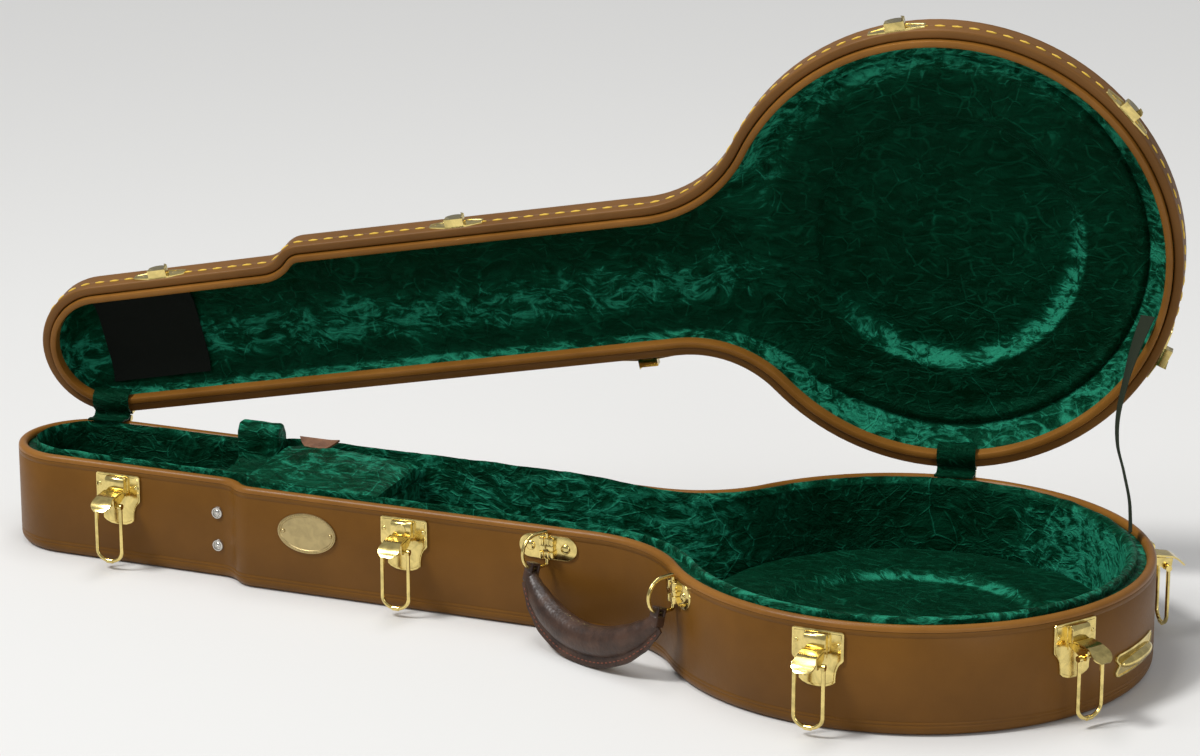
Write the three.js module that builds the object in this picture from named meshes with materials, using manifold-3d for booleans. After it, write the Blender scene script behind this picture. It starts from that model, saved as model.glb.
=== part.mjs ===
// Hard case for a resonator banjo, lid open, in millimetres with +Z up.
// The origin is on the surface that the case lies on, under the centre of the round pot.
// The head end points to -X and the handle side faces -Y.

import * as THREE from 'three';
import { mergeVertices } from 'three/addons/utils/BufferGeometryUtils.js';
import Module from 'manifold-3d';

const wasm = await Module();
wasm.setup();

// Clearances and the overrun of every cut
const gap = 0.3;
const running = 0.45;
const overrun = 6;

// Share of its radius at which a curve's handles make a quarter circle
const roundShare = 0.5523;

// Outline of the case seen from above
const potRadius = 205;
const headReach = 846.5;
const headHalfWidth = 63.5;
const backHalfWidthAtFlare = 67.5;
const backFlareRadius = 95;
const stepStart = 615.5;
const stepLength = 38;
const stepRise = 16;
const frontHalfWidthAtFlare = 76;
const flareReach = 260;
const frontFlareRadius = 109.5;

// Shell of the base and of the lid
const baseDepth = 92;
const wall = 8;
const bottomThickness = 6;
const bindingHeight = 5;
const rimGap = 0.5;
const lidSideHeight = 24;
const lidPanel = 5;
const lidEdgeRise = 6.5;
const lidVault = 15;
const lidOpenAngle = 80;
const neckVaultShare = 0.55;
const potVaultShare = 0.3;

// Tongue of the lid, which drops inside the binding of the base
const tongueThickness = 6;
const tongueDrop = 4;
const tongueRoot = 6;

// Padding and plush of the base
const liningFloor = 4;
const neckPad = 10;
const potPad = 17;
const padDrop = 5;
const padCrown = 2;
const cushionTop = 32;
const cushionEase = 1.2;
const recessOuterRadius = 118;
const recessInnerRadius = 108;
const recessDepth = 9;

// Padding and plush of the lid
const lidSidePad = 5;
const lidEdgePad = 4;
const lidPotPad = 9.5;
const liningEase = 1.2;
const lidRecessDepth = 6.5;
const lidRecessOuter = 116;
const lidRecessInner = 105;

// Neck cradle, its tall back ear, and the accessory compartment beside it
const cradleStart = 646;
const cradleLength = 42;
const cradleSaddleDrop = 14;
const earRise = 23;
const earThickness = 17;
const earRound = 11;
const frontEarDrop = 3;
const compartmentLength = 132;
const compartmentWallThickness = 9;
const compartmentLidThickness = 9;
const compartmentLidDrop = 7;
const compartmentCrown = 10;
const tabWidth = 40;
const tabReach = 14;
const tabLean = 30;
const tabThickness = 2;
const tabPlaceShare = 0.25;

// Colours of the photographed case
const vinyl = { color: 0x7a4b22, roughness: 0.42, metalness: 0 };
const vinylRim = { color: 0x8f5a26, roughness: 0.4, metalness: 0 };
const plush = { color: 0x0a4a30, roughness: 0.95, metalness: 0 };
const brass = { color: 0xd9c48a, roughness: 0.2, metalness: 1 };
const oldBrass = { color: 0xa8863f, roughness: 0.4, metalness: 1 };
const nickel = { color: 0xc9c4bb, roughness: 0.25, metalness: 1 };
const leather = { color: 0x4b2d2a, roughness: 0.5, metalness: 0 };
const tabLeather = { color: 0x6b4630, roughness: 0.6, metalness: 0 };
const loopFabric = { color: 0x0d0f0e, roughness: 1, metalness: 0 };
const strapWeb = { color: 0x26291f, roughness: 0.9, metalness: 0 };

const root = new THREE.Group();
root.name = 'banjo_case';

function addMesh(parent, name, geometry, look) {
  const mesh = new THREE.Mesh(geometry, new THREE.MeshStandardMaterial(look));
  mesh.name = name;
  parent.add(mesh);
  return mesh;
}

// Solids from closed meshes, and joins and cuts between them
function toSolid(geometry) {
  const bare = geometry.index ? geometry.toNonIndexed() : geometry.clone();
  bare.deleteAttribute('normal');
  bare.deleteAttribute('uv');
  const merged = mergeVertices(bare, 1e-4);
  return new wasm.Manifold(new wasm.Mesh({
    numProp: 3,
    vertProperties: new Float32Array(merged.attributes.position.array),
    triVerts: new Uint32Array(merged.index.array),
  }));
}

function toGeometry(solid) {
  const mesh = solid.getMesh();
  const geometry = new THREE.BufferGeometry();
  geometry.setAttribute('position', new THREE.BufferAttribute(mesh.vertProperties, mesh.numProp));
  geometry.setIndex(new THREE.BufferAttribute(mesh.triVerts, 1));
  return geometry;
}

function join(first, ...others) {
  return toGeometry(others.reduce((solid, other) => solid.add(toSolid(other)), toSolid(first)));
}

function cut(first, ...others) {
  return toGeometry(others.reduce((solid, other) => solid.subtract(toSolid(other)), toSolid(first)));
}

// A solid from rings of points: open ends are closed by flat caps
function loft(rings, { ringOfRings = false } = {}) {
  const count = rings[0].length;
  const positions = rings.flat().flatMap((point) => [point.x, point.y, point.z]);
  const faces = [];
  const spans = ringOfRings ? rings.length : rings.length - 1;
  for (let span = 0; span < spans; span += 1) {
    const here = span * count;
    const there = ((span + 1) % rings.length) * count;
    for (let side = 0; side < count; side += 1) {
      const next = (side + 1) % count;
      faces.push(here + side, here + next, there + next);
      faces.push(here + side, there + next, there + side);
    }
  }
  if (!ringOfRings) {
    faces.push(...capFaces(rings[0], 0).reverse());
    faces.push(...capFaces(rings[rings.length - 1], (rings.length - 1) * count));
  }
  const geometry = new THREE.BufferGeometry();
  geometry.setAttribute('position', new THREE.Float32BufferAttribute(positions, 3));
  geometry.setIndex(signedVolume(positions, faces) < 0 ? [...faces].reverse() : faces);
  return geometry;
}

// Flat cap of a ring, laid out in the plane that the ring lies in
function capFaces(ring, firstIndex) {
  const normal = new THREE.Vector3();
  ring.forEach((point, index) => {
    normal.add(new THREE.Vector3().crossVectors(point, ring[(index + 1) % ring.length]));
  });
  normal.normalize();
  const across = new THREE.Vector3(1, 0, 0);
  if (Math.abs(normal.x) > Math.SQRT1_2) across.set(0, 1, 0);
  across.cross(normal).normalize();
  const along = new THREE.Vector3().crossVectors(normal, across);
  const flat = ring.map((point) => new THREE.Vector2(point.dot(across), point.dot(along)));
  return THREE.ShapeUtils.triangulateShape(flat, []).flat().map((index) => firstIndex + index);
}

function signedVolume(positions, faces) {
  const corner = (index) => new THREE.Vector3().fromArray(positions, index * 3);
  let volume = 0;
  for (let face = 0; face < faces.length; face += 3) {
    const [a, b, c] = [0, 1, 2].map((offset) => corner(faces[face + offset]));
    volume += a.dot(b.cross(c));
  }
  return volume;
}

function smooth(from, to, value) {
  return THREE.MathUtils.smoothstep(value, from, to);
}

function arc(centreX, centreY, radius, from, to, steps) {
  return Array.from({ length: steps + 1 }, (_, step) => {
    const angle = from + ((to - from) * step) / steps;
    return new THREE.Vector2(centreX + radius * Math.cos(angle), centreY + radius * Math.sin(angle));
  });
}

// Where a straight wall at one half width runs tangent into the flare, and the flare into the pot
function flareOf(startReach, startHalf, halfAtFlare, radius) {
  const slope = (halfAtFlare - startHalf) / (startReach - flareReach);
  const along = new THREE.Vector2(1, slope).normalize();
  const out = new THREE.Vector2(-along.y, along.x);
  const start = new THREE.Vector2(-startReach, startHalf).addScaledVector(out, radius);
  const half = start.dot(along);
  const room = start.lengthSq() - (potRadius + radius) ** 2;
  const centre = start.clone().addScaledVector(along, -half - Math.sqrt(half * half - room));
  return { centre, slope, lineAngle: Math.atan2(-out.y, -out.x), potAngle: centre.angle(), radius };
}

const headCentreReach = headReach - headHalfWidth;
const neckFrontHalf = headHalfWidth + stepRise;
const neckFrontStart = stepStart - stepLength;
const backFlare = flareOf(headCentreReach, headHalfWidth, backHalfWidthAtFlare, backFlareRadius);
const frontFlare = flareOf(neckFrontStart, neckFrontHalf, frontHalfWidthAtFlare, frontFlareRadius);

// Counts of facets round the outline
const potSteps = 18;
const flareSteps = 5;
const capSteps = 12;
const stepSteps = 3;

// Half of the outline, from the pot end to the head end, as reach and half width
function halfOutline(flare, hasStep) {
  const points = arc(0, 0, potRadius, 0, flare.potAngle, potSteps);
  const inner = flare.potAngle - Math.PI;
  const bent = arc(flare.centre.x, flare.centre.y, flare.radius, inner, flare.lineAngle, flareSteps);
  points.push(...bent.slice(1));
  if (hasStep) {
    const bend = (stepLength ** 2 + stepRise ** 2) / (4 * stepRise);
    const turn = Math.asin(stepLength / (2 * bend));
    const right = Math.PI / 2;
    points.push(...arc(-neckFrontStart, neckFrontHalf - bend, bend, right, right + turn, stepSteps));
    points.push(...arc(-stepStart, headHalfWidth + bend, bend, turn - right, -right, stepSteps).slice(1));
  }
  return points;
}

function outlinePoints() {
  const back = halfOutline(backFlare, false);
  const front = halfOutline(frontFlare, true).map((point) => new THREE.Vector2(point.x, -point.y));
  const cap = arc(-headCentreReach, 0, headHalfWidth, Math.PI / 2, (3 * Math.PI) / 2, capSteps);
  return [...back, ...cap, ...front.slice(1).reverse()];
}

const outline = outlinePoints();
const inward = outline.map((point, index) => {
  const before = outline[(index + outline.length - 1) % outline.length];
  const after = outline[(index + 1) % outline.length];
  const first = point.clone().sub(before).normalize();
  const second = after.clone().sub(point).normalize();
  const normal = new THREE.Vector2(-first.y - second.y, first.x + second.x).normalize();
  return normal.divideScalar(new THREE.Vector2(-second.y, second.x).dot(normal));
});

// A ring that follows the outline at a depth inside it; depth and height may vary along the case
function ring(depth, height) {
  return outline.map((point, index) => {
    const inset = typeof depth === 'function' ? depth(point) : depth;
    const moved = point.clone().addScaledVector(inward[index], inset);
    return new THREE.Vector3(moved.x, moved.y, height);
  });
}

// The same ring drawn in towards the middle line of the case, for vaulted panels
function drawnIn(points, share) {
  return points.map((point) => {
    const towardPot = smooth(-flareReach, potRadius / 3, point.x);
    const middleX = Math.max(Math.min(point.x, 0), -headCentreReach) * (1 - towardPot);
    const middle = new THREE.Vector3(middleX, 0, point.z);
    const reach = share * THREE.MathUtils.lerp(neckVaultShare, potVaultShare, towardPot);
    return point.clone().lerp(middle, reach);
  });
}

function raised(points, height) {
  return points.map((point) => new THREE.Vector3(point.x, point.y, height));
}

function prism(depth, bottom, top) {
  return loft([ring(depth, bottom), ring(depth, top)]);
}

// Places on the outer wall: the point, and the turn that makes the local -Y point outwards
function onPot(angle) {
  return { x: potRadius * Math.cos(angle), y: potRadius * Math.sin(angle), turn: angle + Math.PI / 2 };
}

function onFront(reach) {
  const pastStep = reach < neckFrontStart;
  const slope = pastStep ? frontFlare.slope : 0;
  const half = (pastStep ? neckFrontHalf : headHalfWidth) + Math.max(neckFrontStart - reach, 0) * slope;
  return { x: -reach, y: -half, turn: -Math.atan(slope) };
}

function onBack(reach) {
  const half = headHalfWidth + (headCentreReach - reach) * backFlare.slope;
  return { x: -reach, y: half, turn: Math.PI + Math.atan(backFlare.slope) };
}

function placeOnWall(parent, place, height) {
  const group = new THREE.Group();
  group.position.set(place.x, place.y, height);
  group.rotation.z = place.turn;
  parent.add(group);
  group.updateMatrix();
  return group;
}

// Trims what sits on the wall so that its back follows the wall at the named gap
function seated(geometry, group) {
  const rest = prism(-gap, -baseDepth, 2 * baseDepth);
  rest.applyMatrix4(group.matrix.clone().invert());
  return cut(geometry, rest);
}

// A plate drawn as seen from outside, standing out from the wall
function plateOut(shape, thickness, sink = 0, curveSegments = 3) {
  const settings = { depth: thickness + sink, bevelEnabled: false, curveSegments };
  const plate = new THREE.ExtrudeGeometry(shape, settings);
  plate.rotateX(Math.PI / 2);
  plate.translate(0, sink - gap, 0);
  return plate;
}

// A profile drawn as distance out and height, and pulled along X to a width
function sideBlock(points, width, centre = 0, hole = null) {
  const shape = new THREE.Shape(points.map(([out, up]) => new THREE.Vector2(out, up)));
  if (hole) shape.holes.push(new THREE.Path().absarc(hole.out, hole.up, hole.radius, 0, 2 * Math.PI, true));
  const block = new THREE.ExtrudeGeometry(shape, { depth: width, bevelEnabled: false, curveSegments: 4 });
  block.translate(0, 0, -width / 2);
  block.applyMatrix4(new THREE.Matrix4().makeBasis(
    new THREE.Vector3(0, -1, 0),
    new THREE.Vector3(0, 0, 1),
    new THREE.Vector3(-1, 0, 0),
  ));
  block.translate(centre, 0, 0);
  return block;
}

function rodAlongX(radius, length, sides = 8) {
  return new THREE.CylinderGeometry(radius, radius, length, sides).rotateZ(Math.PI / 2);
}

function mirrored(points) {
  return [...points, ...points.map(([x, y]) => [-x, y]).reverse()];
}

function polygon(points) {
  return new THREE.Shape(points.map(([x, y]) => new THREE.Vector2(x, y)));
}

// Base shell: bent side with a rounded foot, bottom panel, and the rolled binding on the rim
const bindingSeat = baseDepth - bindingHeight - gap;
const bindingWidth = wall + gap;

function buildBaseShell() {
  const foot = arc(wall, wall, wall, Math.PI, (3 * Math.PI) / 2, 4).map((point) => ring(point.x, point.y));
  const side = [ring(0, bindingSeat), ...foot, ring(wall, bindingSeat)];
  addMesh(root, 'base_side', loft(side, { ringOfRings: true }), vinyl);
  addMesh(root, 'base_bottom', prism(wall + gap, 0, bottomThickness), vinyl);
  const roll = bindingWidth / 2;
  const bead = arc(roll, baseDepth - roll, roll, Math.PI, 0, 5).map((point) => ring(point.x, point.y));
  const foldBottom = baseDepth - bindingHeight;
  const binding = [ring(0, foldBottom), ...bead, ring(bindingWidth, foldBottom)];
  addMesh(root, 'base_binding', loft(binding, { ringOfRings: true }), vinylRim);
}

// Padded lining of the base: floor, padded sides, and a soft crown inside the rim
const innerWall = wall + gap;
const floorUnder = bottomThickness + gap;
const floorTop = floorUnder + liningFloor;
const padLip = innerWall + tongueThickness + 2 * running;

function padFace(point) {
  const towardPot = smooth(-flareReach, -potRadius / 2, point.x);
  return innerWall + THREE.MathUtils.lerp(neckPad, potPad, towardPot);
}

function buildBaseLining() {
  const lipHeight = baseDepth - padDrop - gap;
  const riseShare = 0.1;
  const crownShare = 0.5;
  const shoulderShare = 0.88;
  const between = (share) => (point) => THREE.MathUtils.lerp(padLip, padFace(point), share);
  const rings = [
    ring(padFace, floorTop),
    ring(padFace, lipHeight - padDrop),
    ring(between(shoulderShare), baseDepth - padCrown),
    ring(between(crownShare), baseDepth + padCrown),
    ring(between(riseShare), baseDepth),
    ring(padLip, lipHeight),
    ring(innerWall, lipHeight),
    ring(innerWall, floorUnder),
  ];
  const wallTop = lidUnderside - gap;
  const wallBottom = floorTop - liningFloor / 2;
  const sideSink = neckPad / 2;
  const wallLength = 2 * (boxHalf + gap + sideSink);
  const bulkhead = new THREE.BoxGeometry(compartmentWallThickness, wallLength, wallTop - wallBottom);
  bulkhead.translate(-lidEnd - compartmentWallThickness / 2, 0, (wallTop + wallBottom) / 2);
  addMesh(root, 'base_lining', join(loft(rings), bulkhead), plush);
  const radius = potRadius - innerWall - potPad - cushionEase;
  const edge = padDrop;
  const profile = [
    [0, floorTop + gap], [radius, floorTop + gap], [radius, cushionTop - edge], [radius - edge, cushionTop],
    [recessOuterRadius, cushionTop], [recessInnerRadius, cushionTop - recessDepth],
    [0, cushionTop - recessDepth],
  ];
  const cushion = new THREE.LatheGeometry(profile.map(([r, z]) => new THREE.Vector2(r, z)), 40);
  addMesh(root, 'pot_cushion', cushion.rotateX(Math.PI / 2), plush);
}

// Neck cradle: a padded block with a tall ear at the back and a low one in front
const cradleEnd = cradleStart - cradleLength;
const boxHalf = headHalfWidth - innerWall - neckPad - gap;
const boxFloor = floorTop + gap;

function blockAcross(points, reachStart, length) {
  const shape = polygon(points);
  const block = new THREE.ExtrudeGeometry(shape, { depth: length, bevelEnabled: false, curveSegments: 4 });
  block.applyMatrix4(new THREE.Matrix4().makeBasis(
    new THREE.Vector3(0, 1, 0),
    new THREE.Vector3(0, 0, 1),
    new THREE.Vector3(1, 0, 0),
  ));
  block.translate(-reachStart, 0, 0);
  return block;
}

function buildCradle() {
  const saddle = baseDepth - cradleSaddleDrop;
  const earInner = boxHalf - earThickness;
  const earTop = baseDepth + earRise;
  const frontTop = baseDepth - frontEarDrop;
  const softShare = 0.3;
  const soft = earThickness * softShare;
  const side = [
    [-boxHalf, boxFloor], [boxHalf, boxFloor], [boxHalf, earTop - soft], [boxHalf - soft, earTop],
    [earInner + soft, earTop], [earInner, earTop - soft],
    [earInner, saddle + soft], [earInner - soft, saddle],
    [soft - earInner, saddle], [-earInner, saddle + soft], [-earInner, frontTop - soft],
    [-earInner - soft, frontTop], [soft - boxHalf, frontTop], [-boxHalf, frontTop - soft],
  ];
  const block = blockAcross(side, cradleStart, cradleLength);
  const middle = -cradleStart + cradleLength / 2;
  const half = cradleLength / 2;
  const rounded = new THREE.Shape();
  rounded.moveTo(-half, 0);
  rounded.lineTo(-half, earTop - earRound);
  rounded.absarc(earRound - half, earTop - earRound, earRound, Math.PI, Math.PI / 2, true);
  rounded.absarc(half - earRound, earTop - earRound, earRound, Math.PI / 2, 0, true);
  rounded.lineTo(half, 0);
  const settings = { depth: 2 * boxHalf + overrun, bevelEnabled: false, curveSegments: 4 };
  const front = new THREE.ExtrudeGeometry(rounded, settings);
  front.rotateX(Math.PI / 2);
  front.translate(middle, boxHalf + overrun / 2, 0);
  addMesh(root, 'neck_cradle', toGeometry(toSolid(block).intersect(toSolid(front))), plush);
}

// Accessory compartment: a wall on the pot side, a padded lid hinged along the front, a leather tab
const lidStart = cradleEnd - running - gap;
const lidEnd = lidStart - compartmentLength;
const lidUnderside = baseDepth - compartmentLidDrop - compartmentLidThickness;
const lidFrontEdge = -boxHalf;
const lidBackEdge = boxHalf - running;

function buildCompartment() {
  // The lid turns on a cloth hinge along its top front edge
  const pivot = new THREE.Group();
  pivot.name = 'axis_compartment';
  pivot.position.set(-(lidStart + lidEnd) / 2, lidFrontEdge, lidUnderside + compartmentLidThickness);
  root.add(pivot);
  const width = lidBackEdge - lidFrontEdge;
  const acrossShares = [0, 0.06, 0.3, 0.62, 0.9, 1];
  const crownShares = [0, 0.25, 0.55, 0.85, 1, 0.55];
  const alongShares = [-0.5, -0.47, -0.3, 0, 0.3, 0.47, 0.5];
  const swellShares = [0.35, 0.7, 0.95, 1, 0.9, 0.6, 0.3];
  const rings = alongShares.map((along, station) => {
    const x = along * compartmentLength;
    const top = acrossShares.map((across, index) => {
      const crown = compartmentCrown * crownShares[index] * swellShares[station];
      return new THREE.Vector3(x, across * width, crown);
    });
    return [new THREE.Vector3(x, 0, -compartmentLidThickness), ...top,
      new THREE.Vector3(x, width, -compartmentLidThickness)];
  });
  addMesh(pivot, 'compartment_lid', loft(rings.map((points) => [...points].reverse())), plush);

  // Half-moon leather tab that leans up from the free edge
  const tab = new THREE.Shape();
  tab.moveTo(-tabWidth / 2, 0);
  tab.quadraticCurveTo(-tabWidth / 3, -tabReach, 0, -tabReach);
  tab.quadraticCurveTo(tabWidth / 3, -tabReach, tabWidth / 2, 0);
  const settings = { depth: tabThickness, bevelEnabled: false, curveSegments: 5 };
  const leaf = new THREE.ExtrudeGeometry(tab, settings);
  const lean = THREE.MathUtils.degToRad(tabLean);
  leaf.rotateX(lean);
  const rise = compartmentCrown + gap + tabReach * Math.sin(lean);
  leaf.translate(-tabPlaceShare * compartmentLength, width, rise);
  addMesh(pivot, 'pull_tab', leaf, tabLeather);
}

// Hinge line: it runs just outside both the pot and the head end
const hingeOffset = 4;
const hingeYaw = Math.asin((potRadius - headHalfWidth) / headCentreReach);
const hingeAlong = new THREE.Vector3(Math.cos(hingeYaw), Math.sin(hingeYaw), 0);
const hingeOut = new THREE.Vector3(-Math.sin(hingeYaw), Math.cos(hingeYaw), 0);
const hingeFoot = hingeOut.clone().multiplyScalar(potRadius + hingeOffset).setZ(baseDepth);

// Everything on the lid is drawn in its closed place, then swung open about the hinge line
const lidPivot = new THREE.Group();
lidPivot.name = 'axis_lid';
lidPivot.position.copy(hingeFoot);
lidPivot.quaternion.setFromAxisAngle(hingeAlong, -THREE.MathUtils.degToRad(lidOpenAngle));
root.add(lidPivot);
const lid = new THREE.Group();
lid.position.copy(hingeFoot).negate();
lidPivot.add(lid);

// Lid shell: bent side, tongue, and the vaulted top panel
const lidRim = baseDepth + rimGap;
const lidSeat = lidRim + lidSideHeight + gap;
const lidEdgeTop = lidSeat + lidEdgeRise;
const vaultFallShares = [0.35, 1];

function vaultRings(depth, edgeHeight, rise, shares) {
  const start = ring(depth, edgeHeight);
  return shares.map((share) => raised(drawnIn(start, share), edgeHeight + rise * (1 - (1 - share) ** 2)));
}

function buildLidShell() {
  const roundRim = 2;
  const side = [
    ring(0, lidRim + roundRim), ring(roundRim, lidRim), ring(wall, lidRim),
    ring(wall, lidSeat - gap), ring(0, lidSeat - gap),
  ];
  addMesh(lid, 'lid_side', loft(side, { ringOfRings: true }), vinyl);

  const tongueOuter = wall + 2 * running;
  const tongueInner = tongueOuter + tongueThickness;
  const lead = tongueThickness / 4;
  const tongue = [
    ring(tongueOuter, lidRim + tongueRoot), ring(tongueOuter, lidRim - tongueDrop + lead),
    ring(tongueOuter + lead, lidRim - tongueDrop), ring(tongueInner - lead, lidRim - tongueDrop),
    ring(tongueInner, lidRim - tongueDrop + lead), ring(tongueInner, lidRim + tongueRoot),
  ];
  addMesh(lid, 'lid_tongue', loft(tongue, { ringOfRings: true }), vinylRim);

  const cornerShare = 0.45;
  const corner = lidEdgeRise * cornerShare;
  const innerDepth = lidEdgeRise + lidPanel;
  const outer = vaultRings(lidEdgeRise, lidEdgeTop, lidVault, vaultFallShares).reverse();
  const inner = vaultRings(innerDepth, lidSeat + lidEdgeRise - lidPanel, lidVault, vaultFallShares);
  const panel = [
    ...outer, ring(lidEdgeRise, lidEdgeTop), ring(lidEdgeRise - corner - corner, lidEdgeTop - corner / 2),
    ring(0, lidEdgeTop - corner - corner / 2), ring(0, lidSeat), ring(innerDepth, lidSeat), ...inner,
  ];
  addMesh(lid, 'lid_top', loft(panel), vinyl);
}

// Padded lining of the lid, with the round recess over the head of the banjo
const lidLiningTop = lidSeat + lidEdgeRise - lidPanel - liningEase;
const lidLiningInner = wall + gap + lidSidePad + lidEdgePad;

function lidLiningHeight(share) {
  return lidSeat - gap + (lidVault - lidPotPad + lidEdgePad) * (1 - (1 - share) ** 2) - lidEdgePad;
}

function buildLidLining() {
  const sideFoot = lidRim + tongueRoot + gap;
  const outer = vaultRings(lidEdgeRise + lidPanel, lidLiningTop, lidVault, vaultFallShares).reverse();
  const innerStart = ring(lidLiningInner, lidSeat);
  const innerShares = [0, ...vaultFallShares];
  const inner = innerShares.map((share) => raised(drawnIn(innerStart, share), lidLiningHeight(share)));
  const softFoot = ring(wall + gap + lidSidePad, lidRim + tongueRoot + gap);
  const rings = [
    ...outer, ring(lidEdgeRise + lidPanel, lidSeat - gap), ring(wall + gap, lidSeat - gap),
    ring(wall + gap, sideFoot), softFoot, ring(wall + gap + lidSidePad, lidSeat - 2 * lidEdgePad), ...inner,
  ];
  const lining = loft(rings);
  const depth = lidRecessDepth + overrun;
  const spread = (lidRecessOuter - lidRecessInner) / lidRecessDepth;
  const mouth = lidRecessOuter + spread * overrun;
  const recess = new THREE.CylinderGeometry(lidRecessInner, mouth, depth, 40).rotateX(Math.PI / 2);
  recess.translate(0, 0, lidLiningHeight(1) + lidRecessDepth - depth / 2);
  addMesh(lid, 'lid_lining', cut(lining, recess), plush);
}

// Black loop patch stuck on the lining at the head end, following the vault
const patchReach = 795;
const patchLength = 96;
const patchHalfWidth = 41;
const patchThickness = 1.2;
const patchEase = 1.5;

function buildPatch() {
  const startShares = [0, 0.25, 0.5, 0.75, 1];
  const innerHalf = headHalfWidth - lidLiningInner;
  const under = (across) => {
    const fall = (1 - Math.abs(across) / innerHalf) / neckVaultShare;
    return lidLiningHeight(THREE.MathUtils.clamp(fall, 0, 1)) - patchEase;
  };
  const acrossPlaces = startShares.map((share) => (2 * share - 1) * patchHalfWidth);
  const cutReach = [patchReach, patchReach - patchLength];
  const sheet = cutReach.map((reach) => [
    ...acrossPlaces.map((y) => new THREE.Vector3(-reach, y, under(y) - patchThickness)),
    ...[...acrossPlaces].reverse().map((y) => new THREE.Vector3(-reach, y, under(y))),
  ]);
  addMesh(lid, 'lid_patch', loft(sheet), loopFabric);
}

// Draw latches: plate with housing, lever, cross pin and wire bail, and the catch on the lid
const plateWidth = 44;
const plateTopDrop = 8;
const plateHeight = 47;
const plateShoulder = 24;
const plateFoot = 31;
const plateThickness = 1.6;
const plateSink = 3;
const rivetRadius = 2.8;
const rivetPlace = 18;
const rivetDrop = 11;
const housingWidth = 19;
const housingDepth = 7.4;
const housingTop = 9.5;
const housingHeight = 14;
const pivotOut = 10.5;
const pivotDrop = 27;
const lugThickness = 1.8;
const lugPlace = 5.6;
const lugRadius = 2.7;
const pivotRadius = 1.4;
const leverReach = 17;
const leverTail = 1.7;
const leverThickness = 1.4;
const leverWidth = 17;
const leverRise = 4.8;
const cheekThickness = 1.5;
const cheekReach = 12;
const cheekDrop = 7;
const thumbWidth = 19.6;
const thumbLength = 9;
const pinOut = 9;
const pinDrop = 5;
const pinRadius = 1.3;
const pinHalf = 10.3;
const wireRadius = 1.75;
const bailHalf = 12.3;
const bailLength = 50;
const eyeRadius = 2.7;
const catchWidth = 50;
const catchHeight = 15;
const catchFoot = 1.5;
const hookDepth = 9.8;
const lipThickness = 1.6;
const lipHeight = 3;
const keyRadius = 4;
const keyDepth = 5.5;
const keyProud = 1;

// How high the bail holds the catch once the lever is down
const closedBight = bailLength - pivotDrop - pinOut;

function latchPlate(hasKey) {
  const shoulder = -plateTopDrop - plateShoulder;
  const foot = -plateTopDrop - plateHeight;
  const neckShare = 0.68;
  const round = plateThickness + plateThickness;
  const half = plateWidth / 2;
  const footHalf = plateFoot / 2;
  const belly = (plateHeight - plateShoulder) / 5;
  const shape = new THREE.Shape();
  shape.moveTo(half - round, -plateTopDrop);
  shape.quadraticCurveTo(half, -plateTopDrop, half, -plateTopDrop - round);
  shape.lineTo(half, shoulder);
  shape.quadraticCurveTo(half * neckShare, shoulder - round, footHalf, foot + belly + round);
  shape.lineTo(footHalf, foot + belly);
  shape.quadraticCurveTo(0, foot - belly, -footHalf, foot + belly);
  shape.lineTo(-footHalf, foot + belly + round);
  shape.quadraticCurveTo(-half * neckShare, shoulder - round, -half, shoulder);
  shape.lineTo(-half, -plateTopDrop - round);
  shape.quadraticCurveTo(-half, -plateTopDrop, round - half, -plateTopDrop);
  const plate = plateOut(shape, plateThickness, plateSink);
  const face = plateThickness;
  const bevel = housingDepth / 4;
  const housing = sideBlock([
    [0, -housingTop], [housingDepth - bevel, -housingTop], [housingDepth, -housingTop - bevel],
    [housingDepth, -housingTop - housingHeight], [0, -housingTop - housingHeight],
  ], housingWidth);
  const lugRound = arc(pivotOut, -pivotDrop, lugRadius, -Math.PI / 2, Math.PI / 2, 4);
  const lugPoints = lugRound.map((point) => [point.x, point.y]);
  const bore = { out: pivotOut, up: -pivotDrop, radius: pivotRadius + running };
  const lugs = [-lugPlace, lugPlace].map((place) => sideBlock(
    [[0, -pivotDrop - lugRadius], ...lugPoints, [0, -pivotDrop + lugRadius]], lugThickness, place, bore));
  const rivets = [-rivetPlace, rivetPlace].map((place) => {
    const dome = new THREE.SphereGeometry(rivetRadius, 8, 4);
    return dome.translate(place, -face, -plateTopDrop - rivetDrop);
  });
  const whole = join(plate, housing, ...lugs, ...rivets);
  if (!hasKey) return whole;
  const seatRadius = keyRadius + running;
  const keyhole = new THREE.CylinderGeometry(seatRadius, seatRadius, keyDepth + overrun, 14);
  keyhole.translate(0, -housingDepth + keyDepth / 2 - overrun / 2, -housingTop - housingHeight / 2);
  return cut(whole, keyhole);
}

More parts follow.
